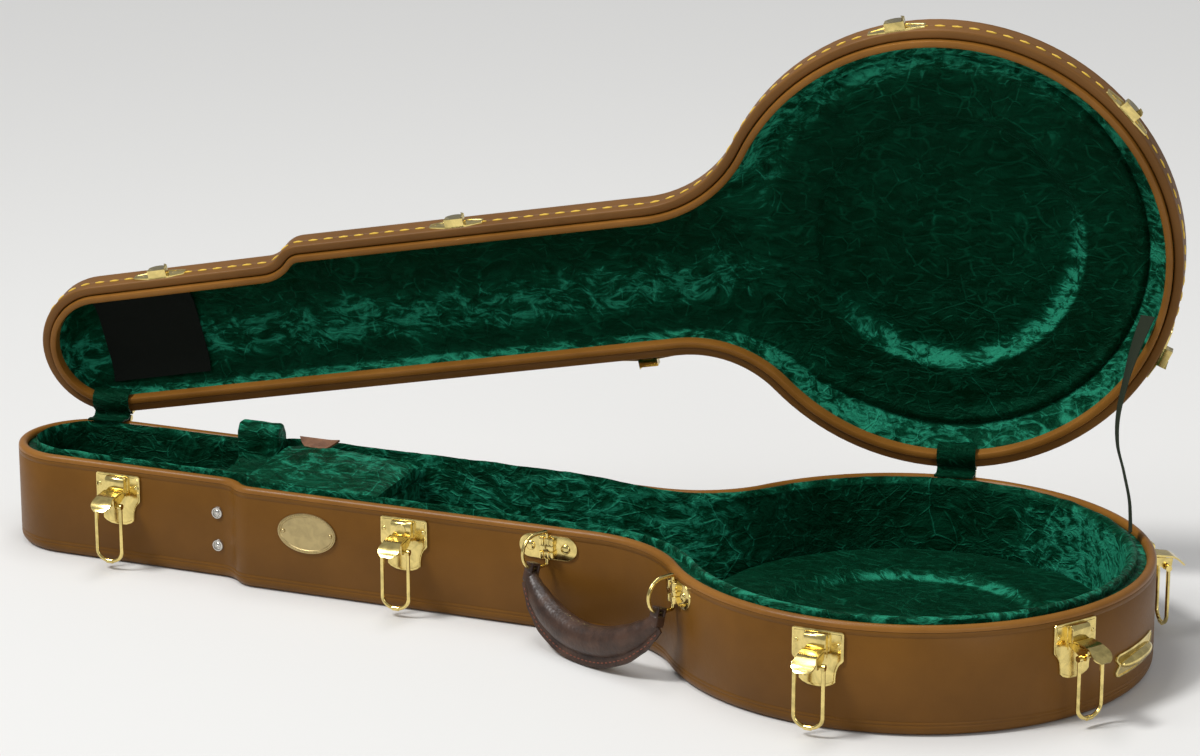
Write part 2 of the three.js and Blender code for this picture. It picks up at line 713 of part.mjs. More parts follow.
// The lever, drawn open: its outer face is up and its thumb tab points away from the wall
function latchLever() {
  const top = new THREE.Shape();
  const half = leverWidth / 2;
  const thumb = thumbWidth / 2;
  const end = leverReach + thumbLength;
  top.moveTo(-half, leverTail);
  top.lineTo(-half, -leverReach + thumbLength);
  top.quadraticCurveTo(-half, -leverReach, -thumb, -leverReach - thumbLength / 3);
  top.quadraticCurveTo(-half, -end, 0, -end);
  top.quadraticCurveTo(half, -end, thumb, -leverReach - thumbLength / 3);
  top.quadraticCurveTo(half, -leverReach, half, -leverReach + thumbLength);
  top.lineTo(half, leverTail);
  const settings = { depth: leverThickness, bevelEnabled: false, curveSegments: 3 };
  const plate = new THREE.ExtrudeGeometry(top, settings);
  plate.translate(0, 0, leverRise - leverThickness);
  const slope = cheekDrop / 3;
  const side = [
    [-leverTail, leverRise - leverThickness / 2], [-leverTail, -slope], [pinOut - slope, -cheekDrop],
    [cheekReach, -cheekDrop], [cheekReach + slope, leverRise - leverThickness / 2],
  ];
  const bore = { out: pinOut, up: -pinDrop, radius: pinRadius + running };
  const cheek = (leverWidth - cheekThickness) / 2;
  const cheeks = [-cheek, cheek].map((place) => sideBlock(side, cheekThickness, place, bore));
  return join(plate, ...cheeks, rodAlongX(pivotRadius, leverWidth - cheekThickness));
}

function wireBail() {
  const legs = bailHalf - eyeRadius;
  const turn = new THREE.Vector3();
  const path = new THREE.CurvePath();
  const top = new THREE.Vector3(-bailHalf, 0, 0);
  const bendTop = new THREE.Vector3(-bailHalf, 0, legs - bailLength - wireRadius);
  path.add(new THREE.LineCurve3(top, bendTop));
  const low = -bailLength - wireRadius;
  const bottom = new THREE.Vector3(0, 0, low);
  const curves = [-1, 1].map((side) => {
    const from = new THREE.Vector3(side * bailHalf, 0, legs + low);
    const near = turn.clone().set(side * bailHalf, 0, legs + low - roundShare * legs);
    const far = turn.clone().set(side * roundShare * bailHalf, 0, low);
    return side < 0 ? new THREE.CubicBezierCurve3(from, near, far, bottom)
      : new THREE.CubicBezierCurve3(bottom, far, near, from);
  });
  curves.forEach((curve) => path.add(curve));
  const lastBend = new THREE.Vector3(bailHalf, 0, legs + low);
  path.add(new THREE.LineCurve3(lastBend, new THREE.Vector3(bailHalf, 0, 0)));
  const section = new THREE.Shape().absarc(0, 0, wireRadius, 0, 2 * Math.PI);
  const wire = new THREE.ExtrudeGeometry(section, { steps: 17, curveSegments: 3, extrudePath: path });
  const eyeWidth = 2 * (bailHalf - pinHalf - gap);
  const eyes = [-1, 1].map((side) => rodAlongX(eyeRadius, eyeWidth).translate(side * bailHalf, 0, 0));
  return join(wire, ...eyes);
}

// An arch seen from outside, which fits inside the round bight of the closed bail
function bightArch(growth, thickness) {
  const halfWidth = bailHalf - wireRadius - running;
  const bend = bailHalf - eyeRadius;
  const spring = closedBight - rimGap - (bend - wireRadius);
  const arch = new THREE.Shape();
  arch.moveTo(-halfWidth, -overrun);
  arch.lineTo(-halfWidth, spring);
  arch.absellipse(0, spring, halfWidth, bend - wireRadius - running + growth, Math.PI, 0, true);
  arch.lineTo(halfWidth, -overrun);
  return toSolid(plateOut(arch, thickness, plateSink, 12));
}

function latchCatch() {
  const half = catchWidth / 2;
  const hookHalf = housingWidth / 2;
  const tipShare = 0.45;
  const wing = mirrored([
    [0, catchFoot], [hookHalf, catchFoot], [half, catchFoot + catchHeight * (1 - tipShare) / 2],
    [half, catchFoot + catchHeight * (1 + tipShare) / 2], [hookHalf, catchFoot + catchHeight],
  ].slice(1));
  const plate = plateOut(polygon(wing), plateThickness, plateSink);
  const shelf = closedBight - rimGap - running;
  const bodyDepth = hookDepth - lipThickness;
  const body = sideBlock([
    [0, catchFoot], [bodyDepth, catchFoot], [bodyDepth, shelf], [0, shelf],
  ], housingWidth - lipThickness);
  const lip = sideBlock([
    [bodyDepth - gap, catchFoot], [bodyDepth, catchFoot], [hookDepth, catchFoot + lipThickness],
    [hookDepth, shelf + lipHeight], [bodyDepth, shelf + lipHeight],
    [bodyDepth, shelf], [bodyDepth - gap, shelf],
  ], housingWidth - lipThickness);
  const roundBody = toSolid(body).intersect(bightArch(0, hookDepth));
  const roundLip = toSolid(lip).intersect(bightArch(lipHeight, hookDepth + overrun));
  return join(plate, toGeometry(roundBody), toGeometry(roundLip));
}

// Places of the latches: along the front, round the pot, and past the flare at the back
const headLatchReach = 716;
const neckLatchReach = 427;
const backLatchPast = 28.8;
const potLatchAngles = { c: -91, d: -31, e: 35 };
const latchPlaces = {
  a: onFront(headLatchReach),
  b: onFront(neckLatchReach),
  c: onPot(THREE.MathUtils.degToRad(potLatchAngles.c)),
  d: onPot(THREE.MathUtils.degToRad(potLatchAngles.d)),
  e: onPot(THREE.MathUtils.degToRad(potLatchAngles.e)),
  f: onBack(backLatchPast - backFlare.centre.x),
};
const keyLatch = 'b';

function buildLatch(letter, place) {
  const spot = placeOnWall(root, place, baseDepth);
  addMesh(spot, `latch_${letter}_plate`, seated(latchPlate(letter === keyLatch), spot), brass);
  const lever = new THREE.Group();
  lever.name = `axis_lever_${letter}`;
  lever.position.set(0, -pivotOut, -pivotDrop);
  spot.add(lever);
  addMesh(lever, `latch_${letter}_lever`, latchLever(), brass);
  const pin = new THREE.Group();
  pin.name = `axis_bail_${letter}`;
  pin.position.set(0, -pinOut, -pinDrop);
  lever.add(pin);
  addMesh(pin, `latch_${letter}_pin`, rodAlongX(pinRadius, 2 * pinHalf), brass);
  addMesh(pin, `latch_${letter}_bail`, wireBail(), brass);
  const upper = placeOnWall(lid, place, lidRim);
  addMesh(upper, `catch_${letter}`, seated(latchCatch(), upper), brass);
  if (letter !== keyLatch) return;
  const key = new THREE.Group();
  key.name = 'axis_key';
  key.position.set(0, -housingDepth, -housingTop - housingHeight / 2);
  spot.add(key);
  const slotWidth = keyRadius / 5;
  const barrel = new THREE.CylinderGeometry(keyRadius, keyRadius, keyDepth - gap + keyProud, 14);
  barrel.translate(0, (keyDepth - gap - keyProud) / 2, 0);
  const slot = new THREE.BoxGeometry(slotWidth, 2 * keyProud, keyRadius).translate(0, -keyProud, 0);
  addMesh(key, 'lock_cylinder', cut(barrel, slot), nickel);
}

// Hinges: a leaf and knuckles on each half, with the pin fixed in the base leaf
const hingeWidth = 34;
const leafHeight = 22;
const leafThickness = 1.5;
const leafSink = 3.2;
const knuckleRadius = 2.9;
const knuckleShare = 0.46;
const hingePinRadius = 1.3;
const coverThickness = 1.6;
const coverLap = 20;
const headHingePlace = -hingeAlong.x * headCentreReach;
const potHingePlace = 12;

function leafPlate(sign) {
  const clearOfKnuckle = knuckleRadius + running;
  const depth = leafThickness + leafSink;
  const plate = new THREE.BoxGeometry(hingeWidth, depth, leafHeight);
  const wallFace = hingeOffset - gap;
  plate.translate(0, -wallFace + leafThickness - depth / 2, sign * (clearOfKnuckle + leafHeight / 2));
  return plate;
}

function knuckle(sign, from, to, bored) {
  const length = to - from;
  const barrel = rodAlongX(knuckleRadius, length, 12);
  const webHeight = knuckleRadius + 2 * running;
  const web = new THREE.BoxGeometry(length, leafThickness, webHeight);
  web.translate(0, -hingeOffset + gap + leafThickness / 2, (sign * webHeight) / 2);
  const whole = join(barrel, web);
  whole.translate((from + to) / 2, 0, 0);
  if (!bored) return whole;
  return cut(whole, rodAlongX(hingePinRadius + running, hingeWidth, 12));
}

function buildHinge(name, place) {
  const middle = (hingeWidth * knuckleShare) / 2;
  const end = hingeWidth / 2;
  const put = (parent) => {
    const spot = new THREE.Group();
    spot.position.copy(hingeFoot).addScaledVector(hingeAlong, place);
    spot.rotation.z = hingeYaw;
    parent.add(spot);
    spot.updateMatrix();
    return spot;
  };
  const lower = put(root);
  const baseLeaf = join(
    seated(leafPlate(-1), lower),
    knuckle(-1, -end, -middle - running, false),
    knuckle(-1, middle + running, end, false),
    rodAlongX(hingePinRadius, hingeWidth, 12),
  );
  addMesh(lower, `hinge_${name}_base_leaf`, baseLeaf, brass);
  const upper = put(lid);
  const lidLeaf = join(seated(leafPlate(1), upper), knuckle(1, -middle, middle, true));
  addMesh(upper, `hinge_${name}_lid_leaf`, lidLeaf, brass);

  // Plush strip laid over both rims and across the hinge, as distance in and height with the lid open
  const swing = THREE.MathUtils.degToRad(lidOpenAngle);
  const onLid = (inside, below) => [
    inside * Math.cos(swing) + below * Math.sin(swing),
    inside * Math.sin(swing) - below * Math.cos(swing),
  ];
  const sag = (hingeWidth * hingeWidth) / (8 * (headHalfWidth - padLip));
  const onPad = padCrown + gap;
  const clearOfTongue = tongueDrop + running + gap;
  const behindTongue = hingeOffset + wall + 2 * running + tongueThickness + sag + 2 * gap;
  const under = [
    [hingeOffset + coverLap, onPad],
    [hingeOffset + padLip, onPad],
    [hingeOffset + bindingWidth, 2 * gap],
    [hingeOffset + gap, coverThickness],
    onLid(hingeOffset + wall / 2, running),
    onLid(hingeOffset + wall, clearOfTongue),
    onLid(behindTongue, clearOfTongue),
    onLid(behindTongue, -wall),
  ];
  const over = under.map(([inside, up], index) => {
    const [fromInside, fromUp] = under[Math.max(index - 1, 0)];
    const [toInside, toUp] = under[Math.min(index + 1, under.length - 1)];
    const normal = new THREE.Vector2(toUp - fromUp, fromInside - toInside).setLength(coverThickness);
    return [inside + normal.x, up + normal.y];
  });
  addMesh(lower, `hinge_cover_${name}`, sideBlock([...under, ...over.reverse()], hingeWidth), plush);
}

// Handle: two riveted plates, D-rings through their tunnels, and a padded leather grip
const ringPlateLength = 53;
const ringPlateHeight = 21;
const ringPlateDrop = 17;
const ringPlateThickness = 1.5;
const tunnelWidth = 13;
const tunnelDepth = 6.4;
const plateRivet = 4.4;
const ringRadius = 14.8;
const ringWire = 1.7;
const ringReach = 13;
const gripDrop = 22;
const gripSag = 33.5;
const gripHalfThickness = 11.5;
const gripHalfDepth = 13.5;
const gripFlange = 8;
const flangeHalf = 2;
const loopWidth = 12;
const loopLength = 10;
const loopWall = 2.6;
const leftRingPast = 38.5;
const rightRingAngle = -137;
const leftRingPlace = onFront(leftRingPast - frontFlare.centre.x);
const rightRingPlace = onPot(THREE.MathUtils.degToRad(rightRingAngle));

// Local Y of the outer wall at a distance along X from a fitting
function wallBehind(group, along) {
  const toLocal = group.matrix.clone().invert();
  const local = outline.map((point) => new THREE.Vector3(point.x, point.y, 0).applyMatrix4(toLocal));
  const crossings = local.flatMap((from, index) => {
    const to = local[(index + 1) % local.length];
    if ((from.x - along) * (to.x - along) > 0 || from.x === to.x) return [];
    return [THREE.MathUtils.mapLinear(along, from.x, to.x, from.y, to.y)];
  });
  return crossings.reduce((best, y) => (Math.abs(y) < Math.abs(best) ? y : best));
}

function ringPlate(spot) {
  const half = ringPlateLength / 2;
  const end = ringPlateHeight / 2;
  const shape = new THREE.Shape();
  shape.moveTo(half - end, -end);
  shape.absarc(half - end, 0, end, -Math.PI / 2, Math.PI / 2);
  shape.lineTo(end - half, end);
  shape.absarc(end - half, 0, end, Math.PI / 2, (3 * Math.PI) / 2);
  const block = plateOut(shape, plateSink, plateSink, 4);
  const skin = prism(-gap - ringPlateThickness, -baseDepth, 2 * baseDepth);
  skin.applyMatrix4(spot.matrix.clone().invert());
  const plate = toGeometry(toSolid(block).intersect(toSolid(skin)));
  const tunnel = new THREE.BoxGeometry(tunnelWidth, tunnelDepth, ringPlateHeight);
  tunnel.translate(0, -tunnelDepth / 2, 0);
  const rivets = [-1, 1].map((side) => {
    const place = side * (half - end);
    const dome = new THREE.SphereGeometry(plateRivet, 10, 6).scale(1, 1 / 2, 1);
    return dome.translate(place, wallBehind(spot, place) - gap - ringPlateThickness, 0);
  });
  const boreRadius = ringWire + running;
  const bore = new THREE.CylinderGeometry(boreRadius, boreRadius, ringPlateHeight + overrun, 10);
  bore.rotateX(Math.PI / 2).translate(0, -tunnelDepth / 2, 0);
  return cut(seated(join(plate, tunnel, ...rivets), spot), bore);
}

// D-ring: its straight bar sits in the tunnel, and its round side turns about the handle's axis
function dRing(wire) {
  const at = (out, up) => new THREE.Vector3(0, -out, up);
  const corner = ringWire + ringWire / 2;
  const bend = ringRadius - corner;
  const pull = roundShare * ringRadius;
  const path = new THREE.CurvePath();
  path.add(new THREE.LineCurve3(at(-ringReach, 0), at(-ringReach, bend)));
  path.add(new THREE.QuadraticBezierCurve3(
    at(-ringReach, bend), at(-ringReach, ringRadius), at(corner - ringReach, ringRadius)));
  path.add(new THREE.LineCurve3(at(corner - ringReach, ringRadius), at(0, ringRadius)));
  path.add(new THREE.CubicBezierCurve3(
    at(0, ringRadius), at(pull, ringRadius), at(ringRadius, pull), at(ringRadius, 0)));
  path.add(new THREE.CubicBezierCurve3(
    at(ringRadius, 0), at(ringRadius, -pull), at(pull, -ringRadius), at(0, -ringRadius)));
  path.add(new THREE.LineCurve3(at(0, -ringRadius), at(corner - ringReach, -ringRadius)));
  path.add(new THREE.QuadraticBezierCurve3(
    at(corner - ringReach, -ringRadius), at(-ringReach, -ringRadius), at(-ringReach, -bend)));
  path.add(new THREE.LineCurve3(at(-ringReach, -bend), at(-ringReach, 0)));
  const steps = 30;
  const sides = 7;
  const points = path.getSpacedPoints(steps).slice(0, -1);
  const rings = points.map((point, index) => {
    const before = points[(index + points.length - 1) % points.length];
    const after = points[(index + 1) % points.length];
    const out = new THREE.Vector3(1, 0, 0).cross(after.clone().sub(before)).setLength(wire);
    return Array.from({ length: sides }, (_, side) => {
      const angle = (2 * Math.PI * side) / sides;
      const sideways = new THREE.Vector3(wire * Math.sin(angle), 0, 0);
      return point.clone().addScaledVector(out, Math.cos(angle)).add(sideways);
    });
  });
  return loft(rings, { ringOfRings: true });
}

// Section of the grip: a padded roll with the sewn flange below it
function gripSection(share) {
  const wide = gripHalfThickness * share;
  const deep = gripHalfDepth * share;
  const round = arc(0, 0, 1, -Math.PI / 3, (4 * Math.PI) / 3, 8);
  const roll = round.map((point) => [wide * point.x, deep * point.y]);
  const edge = -deep - gripFlange * share;
  return [[flangeHalf * share, edge], ...roll, [-flangeHalf * share, edge]];
}

function buildHandle() {
  const height = baseDepth - ringPlateDrop;
  const spots = [leftRingPlace, rightRingPlace].map((place) => placeOnWall(root, place, height));
  const bar = new THREE.Vector3(0, -tunnelDepth / 2, 0);
  const [left, right] = spots.map((spot) => bar.clone().applyMatrix4(spot.matrix));
  const span = left.distanceTo(right);
  const turn = Math.atan2(right.y - left.y, right.x - left.x);
  const axis = new THREE.Group();
  const away = new THREE.Vector3(Math.sin(turn), -Math.cos(turn), 0);
  axis.position.copy(left).addScaledVector(away, ringReach);
  axis.rotation.z = turn;
  root.add(axis);
  ['left', 'right'].forEach((side, index) => {
    addMesh(spots[index], `handle_plate_${side}`, ringPlate(spots[index]), brass);
    const dee = addMesh(axis, `handle_ring_${side}`, dRing(ringWire), brass);
    dee.position.x = index * span;
  });

  // The grip hangs outwards just far enough for its flange to rest beside the case
  const lowest = gripDrop + gripSag + gripHalfDepth + gripFlange;
  const reach = Math.hypot(lowest, flangeHalf);
  const lean = Math.acos(Math.min((height - gap) / reach, 1)) + Math.atan(flangeHalf / lowest);
  const swing = new THREE.Group();
  swing.name = 'axis_handle';
  swing.rotation.x = -lean;
  axis.add(swing);
  const radius = (span * span / 4 + gripSag * gripSag) / (2 * gripSag);
  const halfTurn = Math.asin(span / (2 * radius));
  const centre = new THREE.Vector3(span / 2, 0, radius - gripDrop - gripSag);
  const stationShares = [-1, -0.9, -0.75, -0.5, -0.25, 0, 0.25, 0.5, 0.75, 0.9, 1];
  const sizeShares = [0.55, 0.66, 0.82, 0.95, 1, 1, 1, 0.95, 0.82, 0.66, 0.55];
  const rings = stationShares.map((share, station) => {
    const angle = share * halfTurn;
    const out = new THREE.Vector3(Math.sin(angle), 0, -Math.cos(angle));
    return gripSection(sizeShares[station]).map(([y, away]) => {
      const point = centre.clone().addScaledVector(out, radius - away);
      return point.setY(y);
    });
  });
  const loopTop = ringRadius - ringWire - running - loopWall;
  const loopHeight = gripDrop + loopWall - loopTop;
  const ends = [0, span].map((x) => {
    const loop = new THREE.BoxGeometry(loopLength, loopWidth, loopHeight);
    return loop.translate(x, 0, -loopTop - loopHeight / 2);
  });
  const clears = [0, span].map((x) => dRing(ringWire + running).rotateX(lean).translate(x, 0, 0));
  addMesh(swing, 'handle_grip', cut(join(loft(rings), ...ends), ...clears), leather);
}

// Small fittings on the outside
const badgePlaceShare = 0.492;
const badgeDrop = 34;
const badgeHalfLength = 28;
const badgeHalfHeight = 18;
const badgeThickness = 1.8;
const badgeRim = 2.5;
const nailPlace = 22.7;
const nailRadius = 1.9;
const screwReach = 617;
const screwDrops = { upper: 32, lower: 62 };
const cupRadius = 5.6;
const cupHeight = 2;
const screwHeadRadius = 3.6;
const footLength = 76;
const footDrop = 60;
const footAngle = -6;
const footPlateHeight = 20;
const footBarHeight = 11;
const footBarLength = 60;
const footBarDepth = 7;

function buildFittings() {
  const badgeReach = THREE.MathUtils.lerp(neckLatchReach, screwReach, badgePlaceShare);
  const badgeSpot = placeOnWall(root, onFront(badgeReach), baseDepth - badgeDrop);
  const oval = (inset) => new THREE.Shape()
    .absellipse(0, 0, badgeHalfLength - inset, badgeHalfHeight - inset, 0, 2 * Math.PI);
  const plate = plateOut(oval(0), badgeThickness, 0, 12);
  const field = plateOut(oval(badgeRim), badgeThickness, 0, 12).translate(0, -badgeThickness / 2, 0);
  const nails = [-1, 1].map((side) => new THREE.SphereGeometry(nailRadius, 8, 6)
    .translate(side * nailPlace, -badgeThickness / 2, 0));
  addMesh(badgeSpot, 'badge', seated(join(cut(plate, field), ...nails), badgeSpot), oldBrass);

  const headFlatShare = 0.85;
  Object.entries(screwDrops).forEach(([name, drop]) => {
    const spot = placeOnWall(root, onFront(screwReach), baseDepth - drop);
    const profile = [
      [0, 0], [cupRadius, 0], [screwHeadRadius, cupHeight], [screwHeadRadius * headFlatShare, cupHeight],
      [0, cupHeight + gap],
    ].map(([r, h]) => new THREE.Vector2(r, h));
    const screw = new THREE.LatheGeometry(profile, 14).rotateX(Math.PI);
    addMesh(spot, `cradle_screw_${name}`, seated(screw, spot), nickel);
  });

  const footSpot = placeOnWall(root, onPot(THREE.MathUtils.degToRad(footAngle)), baseDepth - footDrop);
  const notch = footPlateHeight / 4;
  const half = footLength / 2;
  const end = footPlateHeight / 2;
  const plan = mirrored([[half - notch, end], [half, end - notch], [half - notch, 0],
    [half, notch - end], [half - notch, -end]]);
  const footPlate = plateOut(polygon(plan), plateThickness, plateSink + plateSink);
  const barHalf = footBarLength / 2;
  const endShare = 0.3;
  const crownShares = [0, 0.35, 0.75, 1, 0.75, 0.35, 0];
  const placeShares = [-1, -0.97, -0.8, 0, 0.8, 0.97, 1];
  const bar = loft(placeShares.map((share, index) => {
    const size = THREE.MathUtils.lerp(endShare, 1, crownShares[index]);
    const depthShare = (2 * footBarDepth) / footBarHeight;
    return arc(0, 0, footBarHeight / 2, Math.PI, 0, 6).map((point) => new THREE.Vector3(
      share * barHalf, -point.y * size * depthShare - plateThickness / 2, point.x * size));
  }));
  const curve = barHalf * barHalf / (2 * potRadius);
  addMesh(footSpot, 'end_foot', seated(join(footPlate, bar.translate(0, curve / 2, 0)), footSpot), brass);
}

// Stay strap: a webbing ribbon from the lid lining down to the base lining
const strapWidth = 13;
const strapThickness = 1.3;
const strapRouteShares = [
  [0.802, 0.441, 0.022], [0.795, 0.461, 0.068], [0.778, 0.492, 0.148], [0.733, 0.557, 0.243],
  [0.685, 0.622, 0.337], [0.661, 0.707, 0.435], [0.657, 0.826, 0.557], [0.665, 0.941, 0.677],
  [0.682, 1.031, 0.777],
];
const strapTurns = [62, 60, 50, 35, 20, 5, 0, 5, 10];

function buildStrap() {
  const points = strapRouteShares.map((place) => new THREE.Vector3(...place)
    .multiplyScalar(potRadius).setZ(baseDepth + place[2] * potRadius));
  const curve = new THREE.CatmullRomCurve3(points);
  const steps = 2 * (points.length - 1);
  const rings = Array.from({ length: steps + 1 }, (_, step) => {
    const along = curve.getTangent(step / steps);
    const turns = strapTurns[Math.min(Math.round(step / 2), strapTurns.length - 1)];
    const angle = THREE.MathUtils.degToRad(turns);
    const across = new THREE.Vector3(Math.cos(angle), -Math.sin(angle), 0).projectOnPlane(along).normalize();
    const off = new THREE.Vector3().crossVectors(along, across);
    const centre = curve.getPoint(step / steps);
    return [[1, 1], [1, -1], [-1, -1], [-1, 1]].map(([wide, thick]) => centre.clone()
      .addScaledVector(across, (wide * strapWidth) / 2)
      .addScaledVector(off, (thick * strapThickness) / 2));
  });
  addMesh(root, 'stay_strap', loft(rings), strapWeb);
}

buildBaseShell();
buildBaseLining();
buildCradle();
buildCompartment();
buildLidShell();
buildLidLining();
buildPatch();
Object.entries(latchPlaces).forEach(([letter, place]) => buildLatch(letter, place));
buildHinge('head', headHingePlace);
buildHinge('pot', potHingePlace);
buildHandle();
buildFittings();
buildStrap();

export default root;
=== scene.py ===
import math

import bmesh
import bpy
from mathutils import Matrix, Vector, kdtree, noise


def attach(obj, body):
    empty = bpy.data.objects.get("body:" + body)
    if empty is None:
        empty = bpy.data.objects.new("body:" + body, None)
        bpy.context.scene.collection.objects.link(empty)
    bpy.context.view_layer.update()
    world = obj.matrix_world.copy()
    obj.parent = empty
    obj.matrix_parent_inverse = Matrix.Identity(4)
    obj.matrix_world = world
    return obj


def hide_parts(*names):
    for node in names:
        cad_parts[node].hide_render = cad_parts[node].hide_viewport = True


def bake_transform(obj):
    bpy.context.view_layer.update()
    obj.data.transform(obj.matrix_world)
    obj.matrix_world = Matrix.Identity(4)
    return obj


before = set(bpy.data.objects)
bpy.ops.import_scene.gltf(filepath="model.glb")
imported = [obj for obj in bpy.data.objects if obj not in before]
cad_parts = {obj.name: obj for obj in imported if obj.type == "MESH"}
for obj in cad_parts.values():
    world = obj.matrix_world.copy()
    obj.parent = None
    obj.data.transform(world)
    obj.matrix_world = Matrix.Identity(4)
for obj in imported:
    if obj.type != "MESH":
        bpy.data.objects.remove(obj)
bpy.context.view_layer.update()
scene = bpy.context.scene
scene.view_settings.view_transform = "Standard"

# Camera: a long lens to the right of the case and a little above it, as the photograph was taken.
# The picture is 1200 wide and 756 high.
camera_lens = bpy.data.cameras.new("camera")
camera_lens.lens = 116.46
camera_lens.sensor_width = 36
camera = bpy.data.objects.new("camera", camera_lens)
looking = Vector((-0.38073, 0.88347, -0.27299))
camera.matrix_world = Matrix.LocRotScale((0.9775, -2.9143, 1.1050), looking.to_track_quat("-Z", "Y"), None)
scene.collection.objects.link(camera)
scene.camera = camera

# Studio: a plain pale paper floor under the case, with three large soft lamps near it, a broad far one
# and a pale surround. Lengths here are in metres.


def paint(red, green, blue):
    """A colour as it is mixed for the screen, turned into the linear values that a shader takes"""
    parts = [part / 255 for part in (red, green, blue)]
    return (*[part / 12.92 if part < 0.04045 else ((part + 0.055) / 1.055) ** 2.4 for part in parts], 1.0)


def new_finish(name, colour, roughness, **settings):
    """A material with its shader set, ready for the pattern nodes"""
    finish = bpy.data.materials.new(name)
    finish.use_nodes = True
    shader = finish.node_tree.nodes["Principled BSDF"]
    shader.inputs["Base Color"].default_value = colour
    shader.inputs["Roughness"].default_value = roughness
    for socket, value in settings.items():
        shader.inputs[socket.replace("_", " ").title().replace("Ior", "IOR")].default_value = value
    return finish, shader


floor_bm = bmesh.new()
bmesh.ops.create_grid(floor_bm, x_segments=2, y_segments=2, size=14)
floor_mesh = bpy.data.meshes.new("floor")
floor_bm.to_mesh(floor_mesh)
floor_bm.free()
floor = bpy.data.objects.new("floor", floor_mesh)
scene.collection.objects.link(floor)
floor_finish, floor_shader = new_finish("floor_paper", paint(226, 225, 222), 0.75)
floor_mesh.materials.append(floor_finish)

surround = bpy.data.worlds.new("surround")
surround.use_nodes = True
surround.node_tree.nodes["Background"].inputs["Color"].default_value = paint(236, 238, 242)
surround.node_tree.nodes["Background"].inputs["Strength"].default_value = 0.4
scene.world = surround


def hang_lamp(name, place, aim, width, height, power):
    lamp = bpy.data.lights.new(name, "AREA")
    lamp.shape = "RECTANGLE"
    lamp.size = width
    lamp.size_y = height
    lamp.energy = power
    hung = bpy.data.objects.new(name, lamp)
    turned = (Vector(aim) - Vector(place)).to_track_quat("-Z", "Y")
    hung.matrix_world = Matrix.LocRotScale(place, turned, None)
    scene.collection.objects.link(hung)


hang_lamp("key_lamp", (-1.7, -1.7, 2.3), (-0.3, 0.0, 0.15), width=1.3, height=0.9, power=16)
hang_lamp("fill_lamp", (2.3, -1.9, 1.3), (-0.2, 0.0, 0.15), width=1.0, height=1.2, power=15)
hang_lamp("top_lamp", (-0.6, 0.1, 2.5), (-0.3, 0.1, 0.2), width=1.8, height=0.6, power=18)
far_lamp = bpy.data.lights.new("far_lamp", "SUN")
far_lamp.energy = 1.75
far_lamp.angle = math.radians(11)
far_hung = bpy.data.objects.new("far_lamp", far_lamp)
far_hung.matrix_world = Vector((-0.42, -0.4, 0.82)).to_track_quat("Z", "Y").to_matrix().to_4x4()
scene.collection.objects.link(far_hung)

# Base shell: a bent plywood side with a rounded foot, wrapped in brown vinyl that is pressed with
# two border lines, and a plain bottom panel let in between the walls. All sizes are in millimetres.
mm = 0.001
pot_radius = 205
head_reach = 783
head_radius = 63.5
step_reach = 615.5
step_length = 38
step_rise = 16
neck_reach = step_reach - step_length
neck_half = head_radius + step_rise
rim_height = 92
wall = 8
gap = 0.3


def flare_of(reach, half, half_at_flare, radius):
    """Centre and angles of the curve that joins a straight wall to the round pot"""
    slope = (half_at_flare - half) / (reach - 260)
    along = Vector((1, slope)).normalized()
    outwards = Vector((-along.y, along.x))
    start = Vector((-reach, half)) + outwards * radius
    half_way = start.dot(along)
    room = start.length_squared - (pot_radius + radius) ** 2
    centre = start - along * (half_way + math.sqrt(half_way**2 - room))
    pot_angle = math.atan2(centre.y, centre.x)
    line_angle = math.atan2(-outwards.y, -outwards.x)
    return {"centre": centre, "slope": slope, "pot_angle": pot_angle, "radius": radius,
            "line_angle": line_angle, "sweep": line_angle - pot_angle + math.pi}


back_flare = flare_of(head_reach, head_radius, 67.5, 95)
front_flare = flare_of(neck_reach, neck_half, 76, 109.5)


def trace_outline(bm, depth, height):
    """The outline of the case at a depth inside it: one vertex spun round the corners and pulled along"""
    here = [bm.verts.new((pot_radius - depth, 0, height))]

    def turn(x, y, angle, steps):
        made = bmesh.ops.spin(bm, geom=here, cent=(x, y, height), axis=(0, 0, 1), angle=angle, steps=steps)
        here[:] = [part for part in made["geom_last"] if isinstance(part, bmesh.types.BMVert)]

    def pull(x, y, steps):
        stride = (Vector((x, y, height)) - here[0].co) / steps
        for _ in range(steps):
            made = bmesh.ops.extrude_vert_indiv(bm, verts=here)
            here[:] = made["verts"]
            bmesh.ops.translate(bm, verts=here, vec=stride)

    bend = (step_length**2 + step_rise**2) / (4 * step_rise)
    lean = math.asin(step_length / (2 * bend))
    turn(0, 0, back_flare["pot_angle"], 52)
    turn(*back_flare["centre"], back_flare["sweep"], 14)
    pull(-head_reach, head_radius - depth, 26)
    turn(-head_reach, 0, math.pi, 34)
    pull(-step_reach, depth - head_radius, 9)
    turn(-step_reach, -head_radius - bend, -lean, 7)
    turn(-neck_reach, bend - neck_half, lean, 7)
    toward = Vector((math.cos(front_flare["line_angle"]), -math.sin(front_flare["line_angle"])))
    start = front_flare["centre"] * Vector((1, -1)) + toward * (front_flare["radius"] + depth)
    pull(start.x, start.y, 16)
    turn(front_flare["centre"].x, -front_flare["centre"].y, front_flare["sweep"], 14)
    turn(0, 0, front_flare["pot_angle"], 48)
    bmesh.ops.remove_doubles(bm, verts=bm.verts, dist=0.01)
    bm.verts.index_update()


def read_outline(depth):
    bm = bmesh.new()
    trace_outline(bm, depth, 0)
    places = [vert.co.copy() for vert in bm.verts]
    bm.free()
    return places


outline = read_outline(0)
inwards = [(inner - outer) / 10 for inner, outer in zip(read_outline(10), outline)]


